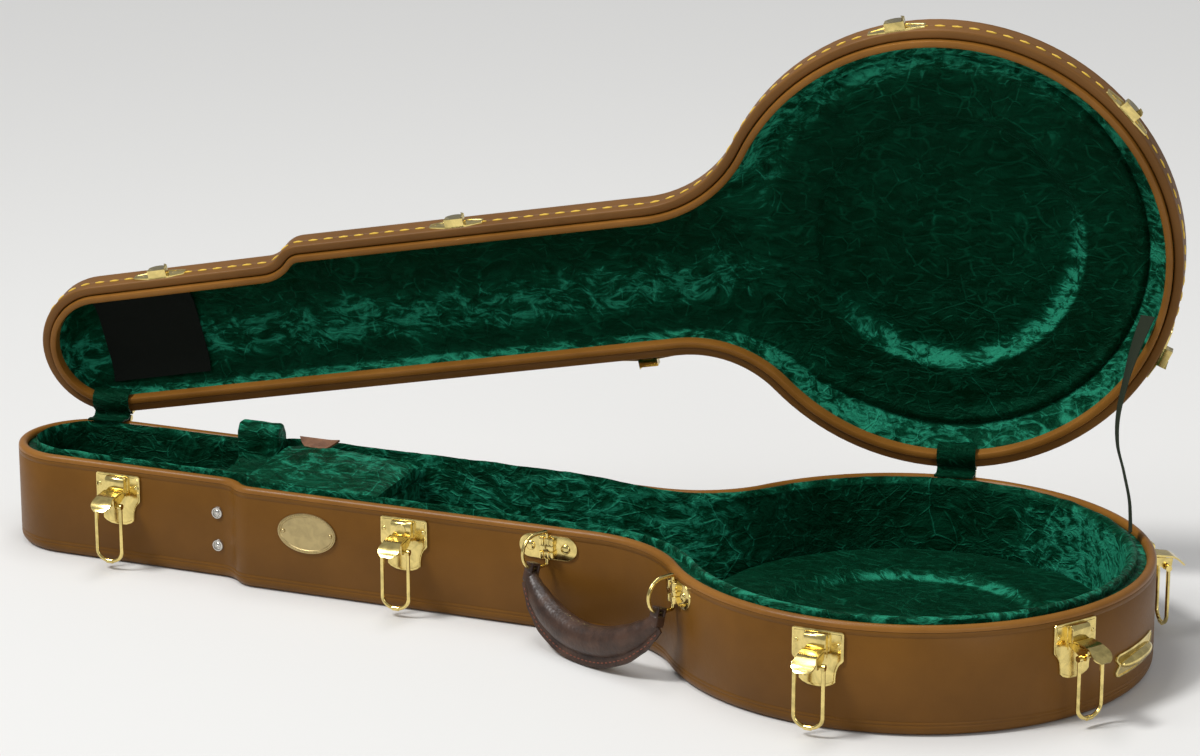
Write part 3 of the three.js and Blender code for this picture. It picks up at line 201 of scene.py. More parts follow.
def pull_edges(bm, edges):
    """Extrudes edges; gives the new vertices and the new edges between them"""
    made = bmesh.ops.extrude_edge_only(bm, edges=edges)["geom"]
    fresh = dict.fromkeys(part for part in made if isinstance(part, bmesh.types.BMVert))
    drawn = [part for part in made if isinstance(part, bmesh.types.BMEdge)]
    return fresh, [edge for edge in drawn if all(vert in fresh for vert in edge.verts)]


def run_round(profile):
    """A wall with a profile of depths and heights that runs round the outline; each is a number or a rule"""
    bm = bmesh.new()
    trace_outline(bm, 0, 0)
    chain = list(bm.verts)
    edges = list(bm.edges)
    for turn, station in enumerate(profile):
        if turn:
            fresh, edges = pull_edges(bm, edges)
            chain = [next(edge.other_vert(vert) for edge in vert.link_edges if edge.other_vert(vert) in fresh)
                     for vert in chain]
        for vert, place, inward in zip(chain, outline, inwards):
            vert.co = station(place, inward) if callable(station) else along_wall(place, inward, *station)
    return bm, edges


def along_wall(place, inward, depth, height):
    inset = depth(place) if callable(depth) else depth
    moved = place + inward * inset
    moved.z = height
    return moved


def finish_piece(bm, name, body, finish, stands_for=(), place=None, sharp=38):
    """The mesh, cleaned, set in its place and turned into a piece that rides on a body"""
    bmesh.ops.remove_doubles(bm, verts=bm.verts, dist=0.002)
    bmesh.ops.recalc_face_normals(bm, faces=bm.faces)
    bmesh.ops.transform(bm, verts=bm.verts, matrix=Matrix.Scale(mm, 4) @ (place or Matrix.Identity(4)))
    for face in bm.faces:
        face.smooth = True
    for edge in bm.edges:
        edge.smooth = edge.calc_face_angle(0) < math.radians(sharp)
    mesh = bpy.data.meshes.new(name)
    bm.to_mesh(mesh)
    bm.free()
    piece = bpy.data.objects.new(name, mesh)
    scene.collection.objects.link(piece)
    mesh.materials.append(finish)
    if body:
        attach(piece, body)
    if stands_for:
        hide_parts(*stands_for)
    return piece


def keep_solid(node, finish):
    """A CAD solid that already has the real shape stays, in this finish"""
    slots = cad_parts[node].data.materials
    slots.clear()
    slots.append(finish)


def add_node(finish, kind, values=(), **settings):
    made = finish.node_tree.nodes.new("ShaderNode" + kind)
    for setting, value in settings.items():
        setattr(made, setting, value)
    for socket, value in dict(values).items():
        made.inputs[socket].default_value = value
    return made


def wire_up(finish, source, target):
    finish.node_tree.links.new(source, target)


def add_pattern(finish, kind, values, **settings):
    """A pattern that lies on the piece's own coordinates"""
    made = add_node(finish, kind, values, **settings)
    wire_up(finish, add_node(finish, "TexCoord").outputs["Object"], made.inputs["Vector"])
    return made


def tint(finish, shader, pattern, low, high):
    """Colours a piece by a pattern, between two colours that each have a place on the ramp"""
    ramp = add_node(finish, "ValToRGB")
    for stop, (colour, place) in zip(ramp.color_ramp.elements, (low, high)):
        stop.color = colour
        stop.position = place
    wire_up(finish, pattern, ramp.inputs["Fac"])
    wire_up(finish, ramp.outputs["Color"], shader.inputs["Base Color"])
    return ramp.color_ramp


def darker(colour, share):
    return [part * share for part in colour[:3]] + [1.0]


def emboss(finish, shader, height, strength, depth):
    bump = add_node(finish, "Bump", {"Strength": strength, "Distance": depth})
    wire_up(finish, height, bump.inputs["Height"])
    wire_up(finish, bump.outputs["Normal"], shader.inputs["Normal"])


def vary_gloss(finish, shader, pattern, low, high):
    shine = add_node(finish, "MapRange", {"To Min": low, "To Max": high})
    wire_up(finish, pattern, shine.inputs["Value"])
    wire_up(finish, shine.outputs["Result"], shader.inputs["Roughness"])


def vinyl(name, colour, worn, roughness):
    """Pressed leathercloth: a fine pebble grain, slow changes of tone and a soft gloss"""
    finish, shader = new_finish(name, colour, roughness, specular_ior_level=0.2)
    tone = add_pattern(finish, "TexNoise", {"Scale": 7.0, "Detail": 5.0, "Roughness": 0.6})
    tint(finish, shader, tone.outputs["Fac"], (darker(colour, 0.86), 0.36), (worn, 0.68))
    pebble = add_pattern(finish, "TexVoronoi", {"Scale": 780.0}, feature="SMOOTH_F1")
    wrinkle = add_pattern(finish, "TexNoise", {"Scale": 260.0, "Detail": 6.0, "Roughness": 0.7})
    both = add_node(finish, "Math", operation="ADD")
    wire_up(finish, pebble.outputs["Distance"], both.inputs[0])
    wire_up(finish, wrinkle.outputs["Fac"], both.inputs[1])
    emboss(finish, shader, both.outputs["Value"], 0.16, 0.0004)
    vary_gloss(finish, shader, wrinkle.outputs["Fac"], roughness - 0.07, roughness + 0.1)
    return finish


brown_vinyl = vinyl("brown_vinyl", paint(103, 66, 15), paint(115, 75, 21), 0.42)

foot_curve = [(wall * (1 - math.sin(step * math.pi / 16)), wall * (1 - math.cos(step * math.pi / 16)))
              for step in range(8, -1, -1)]
border_lines = [(0, 13.6), (0.45, 12.9), (0.45, 12.3), (0, 11.6), (0, 10.4), (0.4, 9.8), (0.4, 9.4), (0, 8.8)]
side_profile = [(wall, 86.7), (0.3, 86.7), (0, 86.3), (0, 83.2), (0.35, 82.7), (0.35, 82.3), (0, 81.8)]
side_profile += border_lines + foot_curve + [(wall, 86.7)]
base_shell, _ = run_round(side_profile)
finish_piece(base_shell, "base_wrapped_side", "base", brown_vinyl, ["base_side"])
keep_solid("base_bottom", brown_vinyl)

# Rim binding: a strip of lighter vinyl rolled over the top edge of the base and glued down on both
# sides.
rim_vinyl = vinyl("rim_vinyl", paint(124, 80, 25), paint(146, 98, 40), 0.34)
binding_width = wall + gap
roll = binding_width / 2
bead_turns = [step * math.pi / 14 for step in range(15)]
bead = [(roll - roll * math.cos(turn), rim_height - roll + roll * math.sin(turn)) for turn in bead_turns]
binding, _ = run_round([(0, 87), *bead, (binding_width, 87), (0, 87)])
finish_piece(binding, "base_rolled_binding", "base", rim_vinyl, ["base_binding"])

# Lining of the base: crushed plush over padding on the floor and the sides, with a soft crown that
# stands a little above the rim. The wall of the accessory box is covered with it.
lining_start = wall + gap
pad_lip = lining_start + 7.5


def smooth_step(start, end, value):
    share = min(max((value - start) / (end - start), 0), 1)
    return share * share * (3 - 2 * share)


def pad_face(place):
    return lining_start + 10 + 7 * smooth_step(-260, -pot_radius / 2, place.x)


def along_neck_back(place):
    """1 along the back of the neck, where the padding stands higher than the rim"""
    return smooth_step(-640, -590, place.x) * (1 - smooth_step(-330, -215, place.x)) * (place.y > 0)


def crown(share):
    def place_of(place, inward):
        moved = place + inward * (pad_lip + (pad_face(place) - pad_lip) * share)
        moved.z = 89 + (5 + 6.5 * along_neck_back(place)) * math.sin(math.pi * min(share + 0.12, 1)) ** 0.6
        return moved
    return place_of


def plush(name, deep, middle, bright):
    """Crushed plush coloured by painted light: deep green in painted shade, teal in painted highlights, with
    painted highlights along the creases and streaks, which are also bumped
    """
    finish, shader = new_finish(name, deep, 0.5, specular_ior_level=0.3, sheen_weight=0.1,
                                sheen_roughness=0.4)
    shader.inputs["Sheen Tint"].default_value = paint(60, 190, 140)
    shader.inputs["Specular Tint"].default_value = paint(60, 200, 150)
    coords = add_node(finish, "TexCoord")
    sway = add_node(finish, "TexNoise", {"Scale": 16.0, "Detail": 2.0, "Roughness": 0.5})
    warped = add_node(finish, "Mix", {"Factor": 0.03}, data_type="VECTOR")
    wire_up(finish, coords.outputs["Object"], sway.inputs["Vector"])
    wire_up(finish, coords.outputs["Object"], warped.inputs["A"])
    wire_up(finish, sway.outputs["Color"], warped.inputs["B"])
    brushed = add_node(finish, "Mapping", {"Rotation": (0.0, 0.4, 0.9), "Scale": (0.38, 1.0, 1.0)})
    wire_up(finish, warped.outputs["Result"], brushed.inputs["Vector"])
    crumpled = warped.outputs["Result"]
    combed = brushed.outputs["Vector"]

    def folds(source, scale):
        made = add_node(finish, "TexVoronoi", {"Scale": scale}, feature="DISTANCE_TO_EDGE")
        wire_up(finish, source, made.inputs["Vector"])
        return made.outputs["Distance"]

    def cloud(source, scale, detail, roughness, distortion=0.0):
        values = {"Scale": scale, "Detail": detail, "Roughness": roughness, "Distortion": distortion}
        made = add_node(finish, "TexNoise", values)
        wire_up(finish, source, made.inputs["Vector"])
        return made.outputs["Fac"]

    long_runs = cloud(crumpled, 19.0, 2.0, 0.5)
    short_runs = cloud(crumpled, 58.0, 2.0, 0.5)
    patches = cloud(crumpled, 30.0, 5.0, 0.66, 1.1)
    crinkles = cloud(combed, 120.0, 5.0, 0.7, 0.9)
    pile = cloud(crumpled, 700.0, 2.0, 0.7)

    def reckon(operation, first, second, third=None):
        made = add_node(finish, "Math", operation=operation)
        for socket, part in enumerate((first, second, third)):
            if isinstance(part, (int, float)):
                made.inputs[socket].default_value = part
            elif part is not None:
                wire_up(finish, part, made.inputs[socket])
        return made.outputs["Value"]

    def spread(part, low, high, to_low=0.0, to_high=1.0):
        ends = {"From Min": low, "From Max": high, "To Min": to_low, "To Max": to_high}
        made = add_node(finish, "MapRange", ends, interpolation_type="SMOOTHSTEP")
        wire_up(finish, part, made.inputs["Value"])
        return made.outputs["Result"]

    # Painted highlights: thin bright lines along the creases and streaks; the same lines also raise the bump.
    long_line = reckon("MULTIPLY", spread(folds(crumpled, 17.0), 0.0, 0.02, 1.0, 0.0),
                       spread(long_runs, 0.55, 0.61))
    short_line = reckon("MULTIPLY", spread(folds(crumpled, 52.0), 0.0, 0.055, 1.0, 0.0),
                        spread(short_runs, 0.54, 0.6))
    fine_line = reckon("MULTIPLY", spread(folds(combed, 105.0), 0.0, 0.1, 0.7, 0.0),
                       spread(short_runs, 0.5, 0.44))
    lines = reckon("MAXIMUM", reckon("MAXIMUM", long_line, short_line), fine_line)
    patch = spread(patches, 0.42, 0.66)
    crinkle = spread(crinkles, 0.36, 0.66)
    # Painted light that each padded piece stores per vertex, broken into sheen patches: it lifts the colour
    # where light falls and leaves it deep green in shade.
    painted_light = add_node(finish, "Attribute", attribute_name="painted_light")
    sheen_patches = reckon("MULTIPLY_ADD", patch, 0.4, reckon("MULTIPLY_ADD", crinkle, 0.85, 0.12))
    painted_light_amount = reckon("MULTIPLY", painted_light.outputs["Fac"], sheen_patches)
    mottle = reckon("MULTIPLY_ADD", crinkle, 0.17, reckon("MULTIPLY", patch, 0.08))
    lit = reckon("ADD", reckon("MULTIPLY_ADD", lines, 0.36, painted_light_amount), mottle)
    # The colour ramp runs from deep green through the middle tone to a teal painted highlight.
    tint(finish, shader, lit, (deep, 0.06), (bright, 1.0)).elements.new(0.46).color = middle
    fold_height = reckon("MULTIPLY_ADD", lines, 0.16, reckon("MULTIPLY", patches, 0.9))
    height = reckon("ADD", reckon("MULTIPLY_ADD", crinkles, 0.42, fold_height),
                    reckon("MULTIPLY", pile, 0.05))
    emboss(finish, shader, height, 0.9, 0.006)
    return finish


def crush(bm, dents, painted_light, net=9):
    """Presses dents and creases into a padded form, and stores the painted light of each vertex: 0 painted
    shade, 1 painted highlight
    """
    bmesh.ops.remove_doubles(bm, verts=bm.verts, dist=0.002)
    bmesh.ops.recalc_face_normals(bm, faces=bm.faces)
    for _ in range(2):
        bmesh.ops.subdivide_edges(bm, edges=[edge for edge in bm.edges if edge.calc_length() > net], cuts=1,
                                  use_grid_fill=True)
    bmesh.ops.triangulate(bm, faces=[face for face in bm.faces if len(face.verts) > 4])
    bm.normal_update()
    # The painted light of each vertex, which the plush colour follows.
    painted_light_amount = bm.verts.layers.float.new("painted_light")
    for vert in bm.verts:
        vert[painted_light_amount] = painted_light(vert.co)
        near, next_near = noise.voronoi(vert.co / 31)[0][:2]
        small_near, small_next = noise.voronoi(vert.co / 14)[0][:2]
        fold = min(next_near - near, 0.6) + 0.4 * min(small_next - small_near, 0.6) - 0.42
        vert.co += vert.normal * dents * fold
    return bm


def close_middle(bm, last_edges):
    """Fills the last ring of a panel, and the first one"""
    bmesh.ops.contextual_create(bm, geom=last_edges)
    bmesh.ops.contextual_create(bm, geom=[edge for edge in bm.edges if edge.is_boundary])


def edges_of(verts):
    return list(dict.fromkeys(edge for vert in verts for edge in vert.link_edges))


green_plush = plush("green_plush", paint(0, 24, 8), paint(5, 58, 37), paint(38, 134, 104))
pad_profile = [(lining_start, 6.3), (lining_start, 86.7), (pad_lip, 86.7)]
pad_profile += [crown(share) for share in (0.04, 0.12, 0.25, 0.4, 0.55, 0.7, 0.84, 0.94, 0.99)]
pad_profile += [(pad_face, height) for height in (85, 79, 64, 46, 28, 16, 12)]
pad_profile += [(lambda place: pad_face(place) + 0.8, 10.8), (lambda place: pad_face(place) + 3, 10.3)]
base_pad, floor_edges = run_round(pad_profile)
close_middle(base_pad, floor_edges)
bulkhead = bmesh.ops.create_cube(base_pad, size=1)["verts"]
bmesh.ops.scale(base_pad, verts=bulkhead, vec=(9, 91, 67))
bmesh.ops.translate(base_pad, verts=bulkhead, vec=(-475.75, 0, 42.2))
bmesh.ops.bevel(base_pad, geom=edges_of(bulkhead), offset=3, segments=4, profile=0.5, affect="EDGES",
                material=-1)


# Painted light on the base lining: lighter along the neck, on the crown of the pads (most in front) and low
# on the back wall at the far end of the pot; painted shade elsewhere.
def base_painted_light(place):
    at_neck = smooth_step(-620, -560, place.x) * (1 - smooth_step(-215, -120, place.x))
    on_crown = smooth_step(84, 92, place.z)
    to_right = smooth_step(10, 110, place.x)
    in_front = 1 - smooth_step(0, 90, place.y)
    return (0.12 + 0.42 * at_neck + (0.22 + 0.28 * in_front) * on_crown * (1 - at_neck)
            + 0.85 * to_right * (1 - in_front) * (1 - on_crown))


finish_piece(crush(base_pad, 1.3, base_painted_light), "base_plush_lining", "base", green_plush,
             ["base_lining"], sharp=60)

# Pot cushion: a thick plush cushion on the floor of the round end, with a sunk seat in the middle
# for the resonator and a soft rolled edge round it.
cushion_half = [(178.5, 10.8), (178.5, 25), (177.4, 28.6), (174.6, 31), (170, 32), (150, 32.4), (130, 32.2),
                (122, 31.6), (117.5, 30), (114, 27), (111, 24.6), (107, 23.4), (100, 23), (60, 23.2),
                (20, 23.2), (0, 23.2)]


def turn_solid(half, steps):
    """A round solid spun from half of its section"""
    bm = bmesh.new()
    chain = [bm.verts.new((radius, 0, height)) for radius, height in half]
    for pair in zip(chain, chain[1:]):
        bm.edges.new(pair)
    bmesh.ops.spin(bm, geom=bm.verts[:] + bm.edges[:], cent=(0, 0, 0), axis=(0, 0, 1), angle=2 * math.pi,
                   steps=steps, use_merge=True)
    return bm


pot_pad = turn_solid(cushion_half, 120)
bmesh.ops.contextual_create(pot_pad, geom=[edge for edge in pot_pad.edges if edge.is_boundary])


# Painted light on the cushion: a painted highlight on the far slope of the seat, which faces the lamps, a
# little on the outer edge, and painted shade elsewhere.
def cushion_painted_light(place):
    away = math.hypot(place.x, place.y)
    slope = smooth_step(108, 112, away) * (1 - smooth_step(115, 120, away))
    return 0.03 + 0.8 * slope * smooth_step(30, 100, place.y) + 0.12 * smooth_step(165, 177, away)


cushion = finish_piece(crush(pot_pad, 2.0, cushion_painted_light), "pot_plush_cushion", "base", green_plush,
                       ["pot_cushion"], sharp=60)

# Neck cradle: a firm block across the neck, covered with plush, with a tall rounded ear at the back,
# a low one in front and a shallow saddle between them.


def chain_face(bm, points):
    """A flat face whose outline is pulled from point to point"""
    first = bm.verts.new(points[0])
    here = [first]
    for before, after in zip(points, points[1:]):
        here = bmesh.ops.extrude_vert_indiv(bm, verts=here)["verts"]
        bmesh.ops.translate(bm, verts=here, vec=Vector(after) - Vector(before))
    bm.edges.new((here[0], first))
    bm.verts.ensure_lookup_table()
    last = len(bm.verts) - len(points)
    return bm.faces.new(list(bm.verts)[last:])


def thicken(bm, face, vector):
    made = bmesh.ops.extrude_face_region(bm, geom=[face], use_keep_orig=True)
    moved = [part for part in made["geom"] if isinstance(part, bmesh.types.BMVert)]
    bmesh.ops.translate(bm, verts=moved, vec=vector)
    return next(part for part in made["geom"] if isinstance(part, bmesh.types.BMFace))


def soften(bm, edges, width, segments=3):
    bmesh.ops.bevel(bm, geom=list(edges), offset=width, segments=segments, profile=0.5, affect="EDGES",
                    material=-1, clamp_overlap=True)


cradle = bmesh.new()
cradle_start = -646
cradle_length = 42
cradle_side = [(44.9, 10.6), (44.9, 108), (41, 115.5), (31, 115.5), (26, 108), (27, 84), (20, 78), (-20, 78),
               (-27.9, 82), (-27.9, 89), (-44.9, 89), (-44.9, 10.6)]
cradle_face = chain_face(cradle, [(cradle_start, across, height) for across, height in cradle_side])
thicken(cradle, cradle_face, (cradle_length, 0, 0))
bmesh.ops.remove_doubles(cradle, verts=cradle.verts, dist=0.01)
bmesh.ops.recalc_face_normals(cradle, faces=cradle.faces)
soften(cradle, [edge for edge in cradle.edges if min(vert.co.z for vert in edge.verts) > 20], 6.4, 5)
# Painted light on the cradle: lighter towards its top, where light falls.
cradle_piece = finish_piece(crush(cradle, 1.8, lambda place: 0.3 + 0.25 * smooth_step(80, 110, place.z), 6),
                            "plush_neck_cradle", "base", green_plush, ["neck_cradle"], sharp=60)

# Lid of the accessory box: a board padded towards its free edge and covered with plush, hinged on the
# covering along the front and lifted by a half-moon tab of brown leather.


def between_shares(value, places, heights):
    """A height that passes smoothly from one given place to the next"""
    for start, end, low, high in zip(places, places[1:], heights, heights[1:]):
        if value <= end:
            return low + (high - low) * smooth_step(start, end, value)
    return heights[-1]


box_lid = bmesh.new()
bmesh.ops.create_grid(box_lid, x_segments=44, y_segments=30, size=0.5)
box_length = 132
box_width = 89.35
box_middle = Vector((-537.25, -0.2, 0))
for vert in box_lid.verts:
    along = vert.co.x
    across = vert.co.y + 0.5
    hump = between_shares(across, (0, 0.05, 0.3, 0.62, 0.9, 1), (0.1, 0.3, 0.58, 0.88, 1, 0.66))
    swell = between_shares(along, (-0.5, -0.46, -0.3, 0, 0.3, 0.46, 0.5), (0.4, 0.8, 1, 0.98, 0.8, 0.6, 0.35))
    vert.co = (along * box_length + box_middle.x, across * box_width - 44.9, 85 + 14 * hump * swell)
edge_loop = [edge for edge in box_lid.edges if edge.is_boundary]
for drop, inset in ((2.5, 0.0), (7, 0.6), (2.5, 1.6)):
    fresh, edge_loop = pull_edges(box_lid, edge_loop)
    for vert in fresh:
        outwards = vert.co - box_middle
        vert.co.x -= inset * (1 if outwards.x > 0 else -1) * (abs(outwards.x) > 60)
        vert.co.y -= inset * (1 if outwards.y > 0 else -1) * (abs(outwards.y) > 40)
        vert.co.z = max(vert.co.z - drop, 76)
bmesh.ops.contextual_create(box_lid, geom=edge_loop)
# Painted light on the box lid: lighter towards its back edge.
box_lid_piece = finish_piece(crush(box_lid, 2.2, lambda place: 0.42 + 0.2 * smooth_step(-20, 36, place.y), 5),
                             "plush_box_lid", "compartment_lid", green_plush, ["compartment_lid"],
                             sharp=60)


def leather(name, colour, worn, roughness):
    """Grained leather: a pore bump and a tone that changes at random between darker and rubbed"""
    finish, shader = new_finish(name, colour, roughness, specular_ior_level=0.4)
    tone = add_pattern(finish, "TexNoise", {"Scale": 60.0, "Detail": 6.0, "Roughness": 0.65})
    tint(finish, shader, tone.outputs["Fac"], (darker(colour, 0.7), 0.35), (worn, 0.7))
    pores = add_pattern(finish, "TexVoronoi", {"Scale": 420.0}, feature="F1")
    emboss(finish, shader, pores.outputs["Distance"], 0.35, 0.0005)
    return finish


tab_leather = leather("tab_leather", paint(104, 66, 44), paint(140, 96, 66), 0.5)
tab = bmesh.new()
bmesh.ops.create_grid(tab, x_segments=20, y_segments=8, size=0.5)
for vert in tab.verts:
    along = vert.co.x * 2
    across = vert.co.y + 0.5
    depth = 14 * (1 - abs(along) ** 2.4) * across
    curl = 2.4 * max(along - 0.35, 0) ** 2
    vert.co = (along * 20 - 570.25, 44.2 - depth * math.cos(math.radians(30)), 102.6 + curl - depth * 0.5)
bmesh.ops.recalc_face_normals(tab, faces=tab.faces)
bmesh.ops.solidify(tab, geom=tab.faces[:], thickness=1.8)
tab_piece = finish_piece(tab, "leather_pull_tab", "compartment_lid", tab_leather, ["pull_tab"])

# Lid shell: a low bent side in the same brown vinyl, the tongue that drops inside the base binding,
# and a vaulted top panel. The lid is made shut and then swung open about the hinge line.
hinge_yaw = math.asin((pot_radius - head_radius) / head_reach)
hinge_along = Vector((math.cos(hinge_yaw), math.sin(hinge_yaw), 0))
hinge_out = Vector((-math.sin(hinge_yaw), math.cos(hinge_yaw), 0))
hinge_foot = hinge_out * (pot_radius + 4) + Vector((0, 0, rim_height))
lid_swing = math.radians(80)
lid_open = Matrix.Translation(hinge_foot) @ Matrix.Rotation(-lid_swing, 4, hinge_along)
lid_open = lid_open @ Matrix.Translation(-hinge_foot)
lid_rim = rim_height + 0.5
lid_seat = lid_rim + 24.3
edge_rise = 6.5

lid_side_profile = [(0, 116.5), (0, 104.2), (0.35, 103.8), (0.35, 103.3), (0, 102.9), (0, lid_rim + 2.2),
                    (0.25, lid_rim + 1.1), (0.9, lid_rim + 0.3), (2, lid_rim), (6.4, lid_rim),
                    (7.4, lid_rim + 0.4), (wall, lid_rim + 1.2), (wall, 116.5), (0, 116.5)]
lid_side, _ = run_round(lid_side_profile)
lid_vinyl = vinyl("lid_vinyl", paint(112, 74, 30), paint(124, 84, 38), 0.44)
finish_piece(lid_side, "lid_wrapped_side", "lid", lid_vinyl, ["lid_side"], place=lid_open)

tongue_start = wall + 0.9
tongue_profile = [(0, 6), (0, -2.6), (0.5, -3.6), (1.5, -4), (4.5, -4), (5.5, -3.6), (6, -2.6), (6, 6),
                  (0, 6)]
tongue, _ = run_round([(tongue_start + inset, lid_rim + height) for inset, height in tongue_profile])
finish_piece(tongue, "lid_lipped_tongue", "lid", rim_vinyl, ["lid_tongue"], place=lid_open)


def drawn_in(start, share):
    """A point on the edge of a panel, drawn in: 1 is where the panel is level, 2 its middle line"""
    toward_pot = smooth_step(-260, pot_radius / 3, start.x)
    reach = min(share, 1) * (0.55 - 0.25 * toward_pot)
    reach += max(share - 1, 0) * (0.98 - reach)
    return start.lerp(Vector((max(min(start.x, 0), -head_reach) * (1 - toward_pot), 0, start.z)), reach)


def vaulted(depth, edge_height, share):
    """A ring of a vaulted panel, by its share of the way in"""
    def place_of(place, inward):
        moved = drawn_in(place + inward * depth, share)
        moved.z = edge_height + vault_rise * (1 - (1 - min(share, 1)) ** 2)
        return moved
    return place_of


vault_shares = (0.08, 0.17, 0.27, 0.38, 0.5, 0.64, 0.8, 1.0, 1.35, 1.7, 2.0)
vault_rise = 15
top_profile = [vaulted(edge_rise + 5, lid_seat + edge_rise - 5, share) for share in reversed(vault_shares)]
top_profile += [(edge_rise + 5, lid_seat + 0.6), (edge_rise + 4.6, lid_seat), (0.4, lid_seat),
                (0, lid_seat + 0.4)]
top_profile += [(edge_rise - edge_rise * math.cos(step * math.pi / 16),
                 lid_seat + 0.6 + (edge_rise - 0.6) * math.sin(step * math.pi / 16)) for step in range(1, 9)]
top_profile += [vaulted(edge_rise, lid_seat + edge_rise, share) for share in vault_shares]
lid_top, top_edges = run_round(top_profile)
close_middle(lid_top, top_edges)
finish_piece(lid_top, "lid_vaulted_top", "lid", lid_vinyl, ["lid_top"], place=lid_open,
             sharp=50)

# Lining of the lid: plush over padding, rolled over behind the tongue, with a round recess over the
# drum of the banjo and a shallow hollow along the neck.
pot_panel = 117.5


def pot_share(place):
    return smooth_step(-235, -95, place.x)


def lining_height(share):
    """The front of the padded panel over the neck, from its edge to its middle"""
    return lid_seat - gap - 4 + 9.5 * (1 - (1 - share) ** 2)


def side_pad(share):
    """A ring of the padded side, which leans out towards the top and is thickest round the pot"""
    def place_of(place, inward):
        moved = place + inward * (13.4 + (3.4 + 13 * pot_share(place)) * share**1.2)
        moved.z = 99.6 + (12.2 + 4 * pot_share(place)) * share**0.85
        return moved
    return place_of


def panel(share):
    """A ring of the padded panel: over the pot it has a rolled edge and lies nearer than over the neck"""
    def place_of(place, inward):
        over_pot = pot_share(place)
        edge_share = min(share, 1)
        moved = drawn_in(place + inward * (17.3 + 14 * over_pot), share)
        rolled = pot_panel + 1.5 - 4.4 * math.sin(math.pi * min(edge_share * 4.2 + 0.05, 1)) ** 0.8
        moved.z = lining_height(edge_share) * (1 - over_pot) + rolled * over_pot
        return moved
    return place_of


def cut_away(bm, cutter):
    """What is left of one closed mesh when another is taken out of it"""
    solids = []
    for part in (bm, cutter):
        bmesh.ops.remove_doubles(part, verts=part.verts, dist=0.002)
        bmesh.ops.recalc_face_normals(part, faces=part.faces)
        mesh = bpy.data.meshes.new("cut")
        part.to_mesh(mesh)
        part.free()
        solids.append(bpy.data.objects.new("cut", mesh))
        scene.collection.objects.link(solids[-1])
    taken = solids[0].modifiers.new("cut", "BOOLEAN")
    taken.object = solids[1]
    taken.operation = "DIFFERENCE"
    left = bmesh.new()
    left.from_object(solids[0], bpy.context.evaluated_depsgraph_get())
    for solid in solids:
        bpy.data.objects.remove(solid)
    return left


lining_backs = [vaulted(edge_rise + 5, lid_seat + edge_rise - 6.2, share) for share in reversed(vault_shares)]
lining_profile = [*lining_backs, (11.5, 117.4), (8.4, 116.4), (8.4, 99.0), (10.4, 98.5), (12.4, 98.7)]
lining_profile += [side_pad(share) for share in (0, 0.1, 0.22, 0.36, 0.5, 0.64, 0.78, 0.9, 1)]
panel_shares = (0, 0.03, 0.06, 0.1, 0.15, 0.2, 0.26, 0.36, 0.5, 0.66, 0.82, 1, 1.12, 1.24, 1.36, 1.48, 1.6,
                1.72, 1.84, 1.95)
lining_profile += [panel(share) for share in panel_shares]
lid_lining, middle_edges = run_round(lining_profile)
close_middle(lid_lining, middle_edges)
recess_floor = 130.4
recess_half = [(0, 105), (123, 105), (123, pot_panel - 0.3), (120, pot_panel + 0.6), (117.4, pot_panel + 2.6),
               (115, pot_panel + 5.4), (112.4, pot_panel + 8.6), (109.4, pot_panel + 11.2),
               (105.4, pot_panel + 12.5), (98, pot_panel + 12.9)]
recess_half += [(radius, recess_floor) for radius in (84, 68, 52, 36, 20, 0)]
recess = turn_solid(recess_half, 90)
bmesh.ops.remove_doubles(recess, verts=recess.verts, dist=0.01)

wall_points = kdtree.KDTree(len(outline) * 4)
for spot, (place, following) in enumerate(zip(outline, outline[1:] + outline[:1])):
    for quarter in range(4):
        wall_points.insert(place.lerp(following, quarter / 4), spot * 4 + quarter)
wall_points.balance()


def wall_depth(place):
    """How far a place lies inside the outline"""
    return wall_points.find((place.x, place.y, 0))[2]


def lid_painted_light(place):
    """Painted light on the lid lining: bright on the side pads, on the lower slope of the recess facing the
    lamps, on the rolled edge over the pot and in a band along the neck; painted shade elsewhere
    """
    over_pot = pot_share(place)
    side_end = 17 + 13.5 * over_pot
    on_side = 1 - smooth_step(side_end - 1, side_end + 1, wall_depth(place))
    away = math.hypot(place.x, place.y)
    downwards = (0.3 * place.x + 0.95 * place.y) / max(away, 1)
    slope = smooth_step(103, 108, away) * (1 - smooth_step(118, 121.5, away))
    slope *= smooth_step(-0.1, 0.7, downwards)
    roll = smooth_step(148, 166, away) * smooth_step(0.1, 0.75, -downwards) * over_pot
    down_neck = place.y / (head_radius + 14)
    sweep_of_light = smooth_step(-0.4, 0.1, down_neck) * (1 - smooth_step(0.3, 0.52, down_neck))
    sweep_of_light *= 1 - over_pot
    return max(0.74 * on_side, 1.15 * slope, 0.6 * roll, 0.62 * sweep_of_light, 0.03)


finish_piece(crush(cut_away(lid_lining, recess), 1.5, lid_painted_light), "lid_plush_lining", "lid", green_plush,
             ["lid_lining"], place=lid_open, sharp=60)

